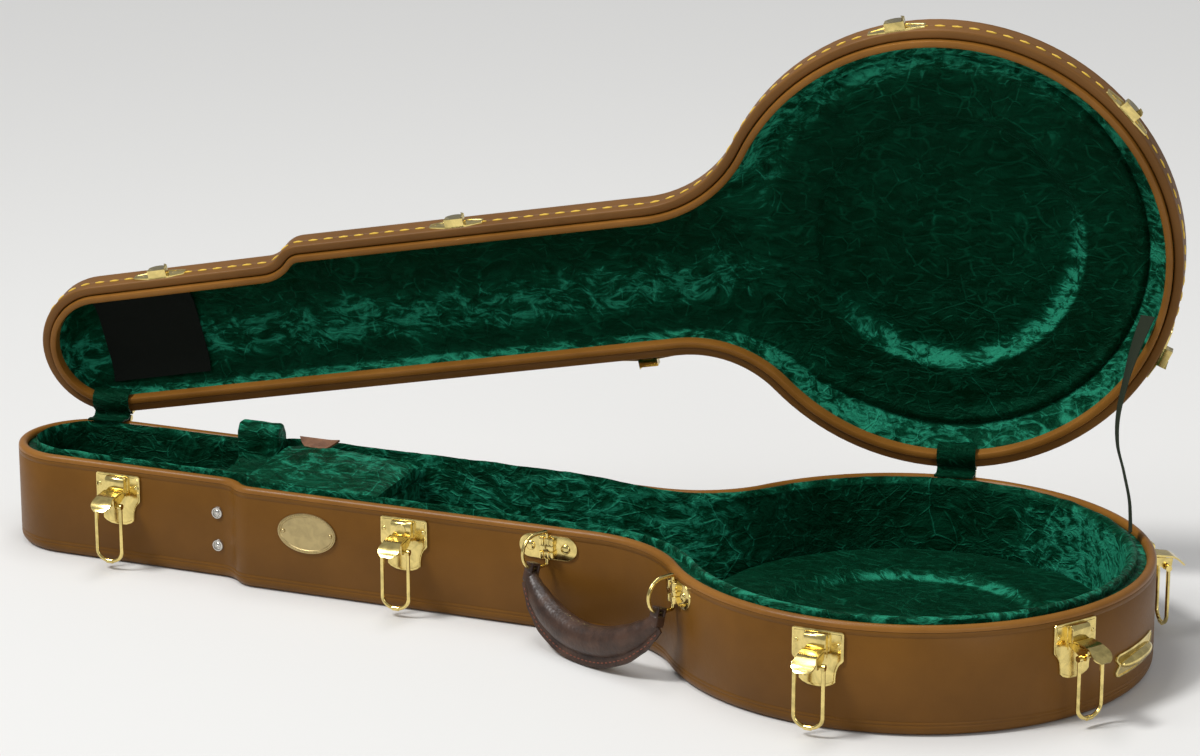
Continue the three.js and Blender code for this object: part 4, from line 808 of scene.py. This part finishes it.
# Loop patch: a square of black loop fabric at the head end of the lid. It is glued flat on the lining
# and stands slightly proud of it.
loop_fabric, loop_shader = new_finish("loop_fabric", paint(11, 14, 11), 0.95, specular_ior_level=0.2)
loop_fuzz = add_pattern(loop_fabric, "TexNoise", {"Scale": 900.0, "Detail": 4.0, "Roughness": 0.8})
tint(loop_fabric, loop_shader, loop_fuzz.outputs["Fac"], (paint(4, 6, 4), 0.0), (paint(22, 27, 21), 1.0))
emboss(loop_fabric, loop_shader, loop_fuzz.outputs["Fac"], 0.7, 0.0006)
patch_width = 82
patch_length = 96
patch_middle = -747
patch = bmesh.new()
bmesh.ops.create_grid(patch, x_segments=20, y_segments=18, size=0.5)
for vert in patch.verts:
    across = vert.co.y * patch_width
    fall = min((1 - abs(across) / (head_radius - 17.3)) / 0.55, 1)
    vert.co = (vert.co.x * patch_length + patch_middle, across, lining_height(fall) - 1.7)
bmesh.ops.recalc_face_normals(patch, faces=patch.faces)
bmesh.ops.solidify(patch, geom=patch.faces[:], thickness=1.2)
patch_piece = finish_piece(patch, "black_loop_patch", "lid", loop_fabric, ["lid_patch"],
                           place=lid_open)

# Saddle stitching: waxed yellow thread in long even stitches, sewn through the vinyl and the lid side
# all the way round, a little above the lid's rim.
thread, thread_shader = new_finish("waxed_thread", paint(232, 192, 70), 0.55)
thread_twist = add_pattern(thread, "TexWave", {"Scale": 900.0, "Distortion": 1.0})
emboss(thread, thread_shader, thread_twist.outputs["Fac"], 0.4, 0.0002)
stitch_pitch = 14.5
stitch_size = (5.2, 1.1, 1.1, 1)
stitch_rise = 9
stitches = bmesh.new()
travelled = 0.0
next_stitch = 0.0
for place, following, inward in zip(outline, outline[1:] + outline[:1], inwards):
    stretch = (following - place).length
    while next_stitch < travelled + stretch:
        spot = place.lerp(following, (next_stitch - travelled) / stretch) - inward * 0.1
        spot.z = lid_rim + stitch_rise
        heading = math.atan2(following.y - place.y, following.x - place.x)
        laid = Matrix.Translation(spot) @ Matrix.Rotation(heading, 4, "Z") @ Matrix.Diagonal(stitch_size)
        bmesh.ops.create_uvsphere(stitches, u_segments=6, v_segments=6, radius=1, matrix=laid)
        next_stitch += stitch_pitch
    travelled += stretch
finish_piece(stitches, "lid_saddle_stitches", "lid", thread, place=lid_open, sharp=80)

# Draw latches: six brass-plated plates riveted through the wall, each with a box housing, an over-centre
# lever on a cross pin and a long wire bail. The second one from the left takes a key.


def brass(name, colour, roughness, painted_reflection_share=0.72):
    """Plated brass: bright and even, with soft smudges that change its gloss and give it a faint bump; the
    same smudges paint dark reflections into its colour in patches
    """
    finish, shader = new_finish(name, colour, roughness, metallic=1.0)
    smudge_and_reflection_values = {"Scale": 90.0, "Detail": 5.0, "Roughness": 0.6, "Distortion": 0.6}
    smudge_and_reflection = add_pattern(finish, "TexNoise", smudge_and_reflection_values).outputs["Fac"]
    vary_gloss(finish, shader, smudge_and_reflection, roughness - 0.07, roughness + 0.12)
    # Painted reflections: the colour is darkened in soft patches, down to this share of it, as where the
    # metal mirrors dark surroundings.
    tint(finish, shader, smudge_and_reflection, (darker(colour, painted_reflection_share), 0.25), (colour, 0.6))
    emboss(finish, shader, smudge_and_reflection, 0.08, 0.0004)
    return finish


plated_brass = brass("plated_brass", paint(240, 216, 138), 0.13, 0.5)


def on_pot(degrees):
    angle = math.radians(degrees)
    return (pot_radius * math.cos(angle), pot_radius * math.sin(angle), angle + math.pi / 2)


def on_front(reach):
    past_step = reach < neck_reach
    slope = front_flare["slope"] if past_step else 0
    half = (neck_half if past_step else head_radius) + max(neck_reach - reach, 0) * slope
    return (-reach, -half, -math.atan(slope))


def on_back(reach):
    half = head_radius + (head_reach - reach) * back_flare["slope"]
    return (-reach, half, math.pi + math.atan(back_flare["slope"]))


def against_wall(spot, height):
    x, y, turn = spot
    return Matrix.Translation((x, y, height)) @ Matrix.Rotation(turn, 4, "Z")


def follow_pot(bm):
    """Bends a fitting that was made flat round the wall of the pot"""
    for vert in bm.verts:
        vert.co.y += vert.co.x**2 / (2 * pot_radius)


def edges_where(bm, test):
    return [edge for edge in bm.edges if test((edge.verts[0].co + edge.verts[1].co) / 2, edge)]


def block(bm, low, high, round_by=0.0, segments=2):
    """A block between two corners with its edges rounded"""
    size = Vector(high) - Vector(low)
    verts = bmesh.ops.create_cube(bm, size=1)["verts"]
    bmesh.ops.scale(bm, verts=verts, vec=size)
    bmesh.ops.translate(bm, verts=verts, vec=Vector(low) + size / 2)
    if round_by:
        soften(bm, edges_of(verts), round_by, segments)


def rod(bm, start, end, radius, sides=18, far_radius=None):
    way = Vector(end) - Vector(start)
    laid = Matrix.LocRotScale(Vector(start) + way / 2, way.to_track_quat("Z", "Y"), None)
    bmesh.ops.create_cone(bm, cap_ends=True, segments=sides, radius1=radius, radius2=far_radius or radius,
                          depth=way.length, matrix=laid)


def dome(bm, place, radius, height):
    laid = Matrix.Translation(place) @ Matrix.Diagonal((radius, height, radius, 1))
    bmesh.ops.create_uvsphere(bm, u_segments=20, v_segments=12, radius=1, matrix=laid)


def sink_field(bm, above, border, step, depth):
    """Sinks the front of a plate inside a border; the front is its largest face past a height"""
    front = max(bm.faces, key=lambda part: part.calc_area() if part.calc_center_median().y < -above else 0)
    bmesh.ops.inset_region(bm, faces=[front], thickness=border, depth=0)
    bmesh.ops.inset_region(bm, faces=[front], thickness=step, depth=-depth)


def add_in(bm, other):
    """Adds another mesh to a piece"""
    added = bpy.data.meshes.new("added")
    other.to_mesh(added)
    other.free()
    bm.from_mesh(added)
    bpy.data.meshes.remove(added)


def framed_plate(bm, half_outline, thickness, border):
    """A pressed plate drawn by its right half: softened edges and a raised border round a lower field"""
    points = [Vector((x, gap, z)) for x, z in half_outline]
    points += [Vector((-x, gap, z)) for x, z in reversed(half_outline) if x > 0.01]
    face = thicken(bm, chain_face(bm, points), (0, -thickness - gap, 0))
    soften(bm, face.edges, 0.5, 2)
    sink_field(bm, thickness * 0.7, border, 0.45, 0.5)


pivot_out = 10.5
pivot_drop = 27
plate_half = [(20.6, -8), (22, -9.4), (22, -31.6), (20.8, -33.2), (18.8, -35), (17.2, -37.8), (16.1, -41.5),
              (15.5, -46), (15.5, -50), (12.6, -52.4), (7.5, -54.4), (0, -55)]
housing_half = 9.5
housing_side = [(0.6, -9.5), (-5, -9.5), (-7.2, -10.4), (-8.2, -12.4), (-8.2, -22.6), (-7.6, -23.5),
                (0.6, -23.5)]


def latch_plate(curved, has_key):
    """A framed plate with two rivets, a folded box housing with its flanges, and two lugs for the lever"""
    bm = bmesh.new()
    framed_plate(bm, plate_half, 1.9, 1.5)
    for side in (-1, 1):
        dome(bm, (side * 18, -1.3, -19), 2.2, 1.8)
        rod(bm, (side * 18, 0, -19), (side * 18, -1.9, -19), 3.5, far_radius=3.1)
    if curved:
        follow_pot(bm)
    housing = bmesh.new()
    end_face = chain_face(housing, [(-housing_half, out, height) for out, height in housing_side])
    thicken(housing, end_face, (2 * housing_half, 0, 0))
    bmesh.ops.remove_doubles(housing, verts=housing.verts, dist=0.01)
    bmesh.ops.recalc_face_normals(housing, faces=housing.faces)
    soften(housing, edges_where(housing, lambda middle, edge: abs(middle.x) > housing_half - 0.1), 0.5, 2)
    for side in (-1, 1):
        flange = side * 9.6
        lug = side * 5.6
        block(housing, (flange - 1.1, -3.2, -24.4), (flange + 1.1, 0, -9.9), 0.45)
        rod(housing, (lug - 0.9, -pivot_out, -pivot_drop), (lug + 0.9, -pivot_out, -pivot_drop), 2.7)
        block(housing, (lug - 0.9, -10.8, -29.6), (lug + 0.9, 0, -24.4), 0.2)
    block(housing, (-8.4, -2.6, -30.5), (8.4, 0.4, -24), 0.4)
    if has_key:
        rod(housing, (0, -7.8, -16.5), (0, -8.7, -16.5), 5.1, 28, 4.7)
    add_in(bm, housing)
    return bm


lever_length = 27.7
lever_back = 1.7
cheek_half = 8.5
cheek_side = [(1.7, 4.0), (1.7, -2.3), (-3.4, -4.4), (-6.7, -7), (-11.6, -7), (-13, -5.4), (-14.3, 2.0)]


def latch_lever():
    """Drawn about its pivot, open: the flat face up, the cheeks below and the thumb lip pointing out"""
    bm = bmesh.new()
    bmesh.ops.create_grid(bm, x_segments=14, y_segments=26, size=0.5)
    for vert in bm.verts:
        across = vert.co.x * 2
        out = (vert.co.y + 0.5) * lever_length - lever_back
        half = cheek_half + 1.3 * smooth_step(14.5, 20, out)
        if out > 20:
            half *= math.sqrt(max(1 - ((out - 20) / 6.4) ** 2 * 0.92, 0.05))
        droop = 0.07 * max(out - 12, 0) ** 2 + 0.25 * max(out, 0) - 1.5 * smooth_step(22.5, 26, out)
        hollow = 0.4 * across**2 * smooth_step(16, 24, out)
        roll_over = 0.5 * (lever_back - min(out, lever_back)) ** 2
        vert.co = (across * half, -out, 4.8 - hollow - droop * 0.6 - roll_over * 0.2)
    bmesh.ops.recalc_face_normals(bm, faces=bm.faces)
    bmesh.ops.solidify(bm, geom=bm.faces[:], thickness=1.4)
    for side in (-1, 1):
        points = [(side * cheek_half, out, height) for out, height in cheek_side]
        thicken(bm, chain_face(bm, points), (-side * 1.4, 0, 0))
    rod(bm, (-7.1, 0, 0), (7.1, 0, 0), 2.2)
    return bm


def path_stations(points, closed=False):
    """Matrices along a path that carry a section without twisting it"""
    points = [Vector(point) for point in points]
    count = len(points)
    stations = []
    turned = None
    heading = None
    for index, point in enumerate(points):
        before = points[index - 1] if index or closed else point
        after = points[(index + 1) % count] if index < count - 1 or closed else point
        way = (after - before).normalized()
        turned = way.to_track_quat("Z", "Y") if turned is None else heading.rotation_difference(way) @ turned
        heading = way
        stations.append(Matrix.LocRotScale(point, turned, None))
    if closed:
        stations.append(stations[0])
    return stations


def sweep(bm, edges, stations, sizes=None):
    """Carries a ring of edges that lies round the first station along all the others"""
    first = list(edges)
    for index in range(1, len(stations)):
        fresh, edges = pull_edges(bm, edges)
        growth = sizes[index] / sizes[index - 1] if sizes else 1.0
        carried = stations[index] @ Matrix.Scale(growth, 4) @ stations[index - 1].inverted()
        bmesh.ops.transform(bm, verts=list(fresh), matrix=carried)
    return first, edges


def close_ends(bm, first, last):
    for ring in (first, last):
        bmesh.ops.contextual_create(bm, geom=ring)


def bent_wire(bm, points, radius, closed=False):
    stations = path_stations(points, closed)
    ring = bmesh.ops.create_circle(bm, cap_ends=False, segments=12, radius=radius, matrix=stations[0])
    ends = sweep(bm, edges_of(ring["verts"]), stations)
    if not closed:
        close_ends(bm, *ends)


bail_half = 12.3
bail_leg = 41.6
bail_bight = 10.1
crimp_drop = bail_leg + bail_bight


def wire_bail():
    """Drawn about its pin, hanging: two eyes, two legs and a round bight with its crimped joint"""
    bm = bmesh.new()
    turns = [step * math.pi / 24 for step in range(25)]
    leg = (1, 14, 28, 38)
    route = [(-bail_half, 0, -drop) for drop in leg]
    route += [(-bail_half * math.cos(turn), 0, -bail_leg - bail_bight * math.sin(turn)) for turn in turns]
    route += [(bail_half, 0, -drop) for drop in reversed(leg)]
    bent_wire(bm, route, 1.75)
    for eye in (-bail_half, bail_half):
        rod(bm, (eye - 1.7, 0, 0), (eye + 1.7, 0, 0), 2.7)
    rod(bm, (-3, 0, -crimp_drop), (3, 0, -crimp_drop), 2.15, 14)
    return bm


hook_half = 8.7


def latch_catch(curved):
    """Drawn from the lid rim up: a bow-tie plate with a rolled hook that the bail pulls on"""
    bm = bmesh.new()
    bow_tie = [(0, 1.5), (10, 1.5), (23.6, 4.6), (25, 5.6), (25, 12.4), (23.6, 13.4), (10, 16.5), (0, 16.5)]
    framed_plate(bm, bow_tie, 1.6, 1.4)
    if curved:
        follow_pot(bm)
    hook = bmesh.new()
    sides = [math.cos(step * math.pi / 24) for step in range(25)]
    for growth, near, far, round_by in ((0, -0.3, 8.2, 0.2), (3, 8.0, 9.8, 0.5)):
        arch = [(-hook_half, -near, 1.5)]
        arch += [(-hook_half * side, -near, 5.6 + (7.4 + growth) * math.sqrt(1 - (0.86 * side) ** 2))
                 for side in sides]
        arch += [(hook_half, -near, 1.5)]
        front = thicken(hook, chain_face(hook, arch), (0, near - far, 0))
        soften(hook, front.edges, round_by, 2)
    add_in(bm, hook)
    return bm


latch_spots = {"a": on_front(716), "b": on_front(427), "c": on_pot(-91), "d": on_pot(-31), "e": on_pot(35),
               "f": on_back(281)}
for letter, spot in latch_spots.items():
    curved = letter in "cde"
    lower = against_wall(spot, rim_height)
    pivot = lower @ Matrix.Translation((0, -pivot_out, -pivot_drop))
    pin = pivot @ Matrix.Translation((0, -9, -5))
    upper = lid_open @ against_wall(spot, lid_rim)
    for bm, name, body, node, place in (
            (latch_plate(curved, letter == "b"), "brass_plate", "base", f"latch_{letter}_plate", lower),
            (latch_lever(), "brass_lever", f"lever_{letter}", f"latch_{letter}_lever", pivot),
            (wire_bail(), "wire_bail", f"bail_{letter}", f"latch_{letter}_bail", pin),
            (latch_catch(curved), "brass_catch", "lid", f"catch_{letter}", upper)):
        finish_piece(bm, f"{name}_{letter}", body, plated_brass, [node], place=place)
    keep_solid(f"latch_{letter}_pin", plated_brass)

# Key cylinder of the locking latch: a nickel plug with a slot for the key, which turns in a bore
# through the front of the housing.
nickel = brass("nickel_plate", paint(206, 203, 196), 0.2)
keep_solid("lock_cylinder", nickel)

# Hinges: small brass butt hinges on the back, one at the head end and one at the pot. Their leaves are
# screwed to the walls and a strip of plush is laid over each of them inside.
for hinge_name in ("head", "pot"):
    for leaf in ("base", "lid"):
        keep_solid(f"hinge_{hinge_name}_{leaf}_leaf", plated_brass)
strip_width = 34
strip_on_base = [(24, 2.4), (21.4, 2.5), (18.6, 2.3), (15.4, 1.4), (12.4, 0.8), (8.4, 0.8), (5.4, 1.6)]
strip_on_lid = [(6.2, 0.6), (9, 2.2), (12, 5), (16, 5.4), (20, 5.2), (22.8, 3.4), (24.2, 0), (24.4, -7.5)]


def cover_strip():
    """The strip as a section of distance inside the hinge line and height, pulled to its width"""
    over, up = math.cos(lid_swing), math.sin(lid_swing)
    under = strip_on_base + [(inside * over + below * up, inside * up - below * over)
                             for inside, below in strip_on_lid]
    bm = bmesh.new()
    across = [strip_width * (step / 16 - 0.5) for step in range(17)]
    verts = [bm.verts.new((across[0], -inside, up)) for inside, up in under]
    edges = [bm.edges.new(pair) for pair in zip(verts, verts[1:])]
    for before, after in zip(across, across[1:]):
        fresh, edges = pull_edges(bm, edges)
        bmesh.ops.translate(bm, verts=list(fresh), vec=(after - before, 0, 0))
    bmesh.ops.recalc_face_normals(bm, faces=bm.faces)
    bmesh.ops.solidify(bm, geom=bm.faces[:], thickness=-1.5)
    return bm


for hinge_name, along in (("head", -hinge_along.x * head_reach), ("pot", 12)):
    middle = hinge_foot + hinge_along * along
    laid = Matrix.Translation(middle) @ Matrix.Rotation(hinge_yaw, 4, "Z")
    strip = finish_piece(cover_strip(), f"plush_hinge_strip_{hinge_name}", None, green_plush,
                         [f"hinge_cover_{hinge_name}"], place=laid, sharp=80)
    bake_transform(strip)

# Stay strap: a ribbon of dark olive webbing that stops the lid when it is open. One end is fixed to the
# lining of the lid and the other to the lining of the base.
webbing, webbing_shader = new_finish("olive_webbing", paint(34, 42, 28), 0.85, specular_ior_level=0.25)
weave_values = {"Scale": 420.0, "Distortion": 0.4, "Detail": 1.0}
weave = add_pattern(webbing, "TexWave", weave_values, bands_direction="DIAGONAL").outputs["Fac"]
tint(webbing, webbing_shader, weave, (paint(18, 25, 14), 0.0), (paint(50, 58, 42), 1.0))
emboss(webbing, webbing_shader, weave, 0.5, 0.0004)
strap_route = [(164.4, 90.4, 4.5), (163, 94.5, 13.9), (159.5, 100.9, 30.4), (150.2, 114.1, 49.9),
               (140.5, 127.4, 69), (135.4, 144.9, 89.1), (134.6, 169.4, 114.3), (136.3, 192.9, 138.8),
               (139.9, 211.3, 159.2)]
strap_turns = (66, 66, 66, 66, 66, 66, 60, 38, 12)


def through(points, steps):
    """A smooth run of points through the given ones"""
    with_ends = [points[0], *points, points[-1]]
    run = []
    for start in range(len(points) - 1):
        before, here, there, after = with_ends[start:start + 4]
        for step in range(steps):
            share = step / steps
            run.append(0.5 * ((2 * here) + (there - before) * share
                              + (2 * before - 5 * here + 4 * there - after) * share**2
                              + (3 * here - before - 3 * there + after) * share**3))
    run.append(points[-1])
    return run


strap_path = through([Vector((x, y, rim_height + z)) for x, y, z in strap_route], 6)
strap_twists = through([Vector((turn, 0, 0)) for turn in strap_turns], 6)
strap_section = [(-6.5, -0.4), (-6.1, -0.65), (6.1, -0.65), (6.5, -0.4), (6.5, 0.4), (6.1, 0.65),
                 (-6.1, 0.65), (-6.5, 0.4)]
stations = []
for index, point in enumerate(strap_path):
    way = (strap_path[min(index + 1, len(strap_path) - 1)] - strap_path[max(index - 1, 0)]).normalized()
    angle = math.radians(strap_twists[index].x)
    wide = Vector((math.cos(angle), -math.sin(angle), 0))
    wide = (wide - way * wide.dot(way)).normalized()
    stations.append(Matrix((wide, way.cross(wide), way)).transposed().to_4x4())
    stations[-1].translation = point


def sweep_section(section, stations, sizes=None):
    """A solid whose drawn section is carried along the stations and closed at both ends"""
    bm = bmesh.new()
    start = stations[0] @ Matrix.Scale(sizes[0] if sizes else 1, 4)
    verts = [bm.verts.new(start @ Vector((x, y, 0))) for x, y in section]
    ring = [bm.edges.new((verts[index - 1], verts[index])) for index in range(len(verts))]
    close_ends(bm, *sweep(bm, ring, stations, sizes))
    return bm


strap = sweep_section(strap_section, stations)
strap_piece = finish_piece(strap, "webbing_stay", None, webbing, ["stay_strap"], sharp=50)
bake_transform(strap_piece)

# Handle: two round-ended brass plates riveted to the wall, each with a pressed tunnel that holds a
# D-ring, and a padded leather grip with a sewn flange, piped along its upper edge.
handle_leather = leather("handle_leather", paint(52, 34, 24), paint(78, 54, 40), 0.38)
seam_thread = new_finish("seam_thread", paint(120, 62, 40), 0.6)[0]
handle_height = rim_height - 17
handle_spots = {"left": on_front(292.5), "right": on_pot(-137)}


def wall_drop(spot, along):
    """How far the outer wall falls back from a fitting at a distance along it"""
    to_spot = against_wall(spot, 0).inverted()
    local = [to_spot @ place for place in outline]
    found = [before.y + (after.y - before.y) * (along - before.x) / (after.x - before.x)
             for before, after in zip(local, local[1:] + local[:1])
             if (before.x - along) * (after.x - along) <= 0 and before.x != after.x]
    return min(found, key=abs)


def ring_plate(spot):
    bm = bmesh.new()
    turns = [step * math.pi / 18 for step in range(19)]
    points = [(16 + 10.5 * math.sin(turn), 10.5 * math.cos(turn)) for turn in turns]
    points += [(-x, z) for x, z in reversed(points)]
    front = thicken(bm, chain_face(bm, [(x, gap, z) for x, z in points]), (0, -1.8, 0))
    soften(bm, front.edges, 0.5, 2)
    long_edges = edges_where(bm, lambda middle, edge: abs(edge.verts[0].co.x - edge.verts[1].co.x) > 20)
    bmesh.ops.subdivide_edges(bm, edges=long_edges, cuts=10, use_grid_fill=True)
    for side in (-1, 1):
        dome(bm, (side * 16, -1.4, 0), 4.4, 2.2)
    for vert in bm.verts:
        vert.co.y += wall_drop(spot, vert.co.x) * smooth_step(5, 9, abs(vert.co.x))
    for middle, front in ((-4.4, -6.4), (0, -5.7), (4.4, -6.4)):
        for low, high in ((-9.2, -2.4), (2.4, 9.2)):
            block(bm, (middle - 2.1, front, low), (middle + 2.1, 1, high), 0.8)
    block(bm, (-6.2, -5.4, -2.6), (6.2, 1, 2.6), 0.8)
    return bm


dee_axis = 13
dee_round = 14.8
dee_corner = 2.55


def dee_ring():
    """Its straight bar lies in the tunnel; the round side reaches out from the handle's axis"""
    turns = [step * math.pi / 8 for step in range(1, 5)]
    corner = [(dee_axis - dee_corner + dee_corner * math.cos(turn), 12.25 + dee_corner * math.sin(turn))
              for turn in turns]
    points = [(0, dee_axis, -12.2 + 24.4 * step / 6) for step in range(7)]
    points += [(0, out, up) for out, up in corner]
    points += [(0, 5, dee_round)]
    points += [(0, -dee_round * math.sin(step * math.pi / 20), dee_round * math.cos(step * math.pi / 20))
               for step in range(21)]
    points += [(0, 5, -dee_round)]
    points += [(0, out, -up) for out, up in reversed(corner)]
    bm = bmesh.new()
    bent_wire(bm, points, 1.7, closed=True)
    return bm


ends = [against_wall(spot, handle_height) @ Vector((0, -3.2, 0)) for spot in handle_spots.values()]
span = (ends[1] - ends[0]).length
handle_turn = math.atan2(ends[1].y - ends[0].y, ends[1].x - ends[0].x)
handle_axis = Matrix.Translation(ends[0]) @ Matrix.Rotation(handle_turn, 4, "Z")
handle_axis = handle_axis @ Matrix.Translation((0, -dee_axis, 0))
for offset, (side, spot) in enumerate(handle_spots.items()):
    finish_piece(ring_plate(spot), f"brass_ring_plate_{side}", "base", plated_brass,
                 [f"handle_plate_{side}"], place=against_wall(spot, handle_height))
    finish_piece(dee_ring(), f"brass_dee_ring_{side}", "base", plated_brass, [f"handle_ring_{side}"],
                 place=handle_axis @ Matrix.Translation((offset * span, 0, 0)))

grip_sag = 33.5
grip_drop = 22
grip_low = grip_drop + grip_sag + 13.5 + 8
lean = math.acos(min((handle_height - gap) / math.hypot(grip_low, 2), 1)) + math.atan(2 / grip_low)
grip_swing = handle_axis @ Matrix.Rotation(-lean, 4, "X")
grip_radius = (span**2 / 4 + grip_sag**2) / (2 * grip_sag)
grip_turn = math.asin(span / (2 * grip_radius))
grip_centre = Vector((span / 2, 0, grip_radius - grip_drop - grip_sag))
size_places = (-1, -0.9, -0.75, -0.5, -0.25, 0, 0.25, 0.5, 0.75, 0.9, 1)
grip_sizes = (0.5, 0.6, 0.78, 0.94, 1, 1, 1, 0.94, 0.78, 0.6, 0.5)


def grip_station(share):
    angle = share * grip_turn
    out = Vector((math.sin(angle), 0, -math.cos(angle)))
    along = Vector((math.cos(angle), 0, math.sin(angle)))
    laid = Matrix((Vector((0, 1, 0)), out, along)).transposed().to_4x4()
    laid.translation = grip_centre + out * grip_radius
    return laid


grip_shares = [-1 + step / 24 for step in range(49)]
roll_turns = [math.radians(60 - 300 * step / 30) for step in range(31)]
grip_roll = [(11.3 * math.cos(turn), 13.3 * math.sin(turn)) for turn in roll_turns]
grip_section = [(2, 21.4), (2, 13.4), *grip_roll, (-2, 13.4), (-2, 21.4), (0, 21.9)]
size_at = [between_shares(share, size_places, grip_sizes) for share in grip_shares]
grip = sweep_section(grip_section, [grip_station(share) for share in grip_shares], size_at)
for x in (0, span):
    block(grip, (x - 5, -5.6, -27), (x + 5, 5.6, -16.6), 2.4, 4)
    block(grip, (x - 4.6, -5.2, -18.5), (x + 4.6, -2.3, -9.8), 1.1, 3)
    block(grip, (x - 4.6, 2.3, -18.5), (x + 4.6, 5.2, -9.8), 1.1, 3)
    block(grip, (x - 4.6, -5.2, -12.2), (x + 4.6, 5.2, -9.6), 1.1, 3)
grip_piece = finish_piece(grip, "leather_padded_grip", "handle", handle_leather,
                          ["handle_grip"], place=grip_swing, sharp=50)
seam = bmesh.new()
for share in [-0.93 + 1.86 * step / 40 for step in range(41)]:
    size = between_shares(share, size_places, grip_sizes)
    station = grip_station(share)
    for side in (-1, 1):
        laid = station @ Matrix.Translation((side * 2.05 * size, 17.6 * size, 0))
        laid = laid @ Matrix.Diagonal((0.5, 0.55, 1.6, 1))
        bmesh.ops.create_uvsphere(seam, u_segments=6, v_segments=5, radius=1, matrix=laid)
finish_piece(seam, "grip_flange_stitches", "handle", seam_thread, place=grip_swing,
             sharp=80)

# Badge: an oval of antique brass with a raised beaded rim round a blank field, held on the front wall
# of the neck by two small round-headed nails.
old_brass = brass("antique_brass", paint(190, 170, 122), 0.34)
badge = bmesh.new()
badge_laid = Matrix.Translation((0, -0.2, 0)) @ Matrix.Rotation(math.pi / 2, 4, "X")
bmesh.ops.create_circle(badge, cap_ends=True, segments=64, radius=1,
                        matrix=badge_laid @ Matrix.Diagonal((28, 18, 1, 1)))
badge_front = thicken(badge, badge.faces[:][0], (0, -1.7, 0))
soften(badge, badge_front.edges, 0.5, 2)
sink_field(badge, 1, 2.2, 0.5, 0.6)
for step in range(72):
    angle = step * math.pi / 36
    laid = Matrix.Translation((26.7 * math.cos(angle), -1.95, 16.7 * math.sin(angle)))
    bmesh.ops.create_icosphere(badge, subdivisions=1, radius=0.72, matrix=laid)
for side in (-1, 1):
    dome(badge, (side * 22.7, -1.5, 0), 1.9, 1.3)
finish_piece(badge, "antique_badge", "base", old_brass, ["badge"],
             place=against_wall(on_front(520.5), rim_height - 34))

# Cradle screws: two nickel screws in cup washers, one above the other, which hold the neck cradle
# through the front wall.
for name, drop in (("upper", 32), ("lower", 62)):
    screw = bmesh.new()
    rod(screw, (0, gap, 0), (0, -1.7, 0), 5.8, 36, 4.9)
    sink_field(screw, 1, 0.8, 0.5, 1.1)
    dome(screw, (0, -0.5, 0), 2.9, 1.3)
    block(screw, (-1.9, -2.0, -0.35), (1.9, -1.0, 0.35), 0.1, 1)
    finish_piece(screw, f"cup_washer_screw_{name}", "base", nickel, [f"cradle_screw_{name}"],
                 place=against_wall(on_front(617), rim_height - drop))

# Foot: a rounded brass bar on a scalloped plate, low on the wall at the pot end. The case stands on it
# when it is set upright.
foot = bmesh.new()
scallop = [(38, -5), (33, 0), (38, 5), (36.5, 8.8), (33, 10), (0, 10)]
framed_plate(foot, [(0, -10), (33, -10), (36.5, -8.8), *scallop], 1.6, 1.2)
long_edges = edges_where(foot, lambda middle, edge: edge.calc_length() > 20)
bmesh.ops.subdivide_edges(foot, edges=long_edges, cuts=12, use_grid_fill=True)
follow_pot(foot)
bar_half = 30
bar_verts = bmesh.ops.create_uvsphere(foot, u_segments=28, v_segments=28, radius=1,
                                      matrix=Matrix.Rotation(math.pi / 2, 4, "Y"))["verts"]
for vert in bar_verts:
    along = bar_half * math.copysign(abs(vert.co.x) ** 0.8, vert.co.x)
    vert.co = (along, -1.2 + 7 * min(vert.co.y, 0.12) + along**2 / (2 * pot_radius), 5.5 * vert.co.z)
finish_piece(foot, "brass_end_foot", "base", plated_brass, ["end_foot"],
             place=against_wall(on_pot(-6), rim_height - 60))
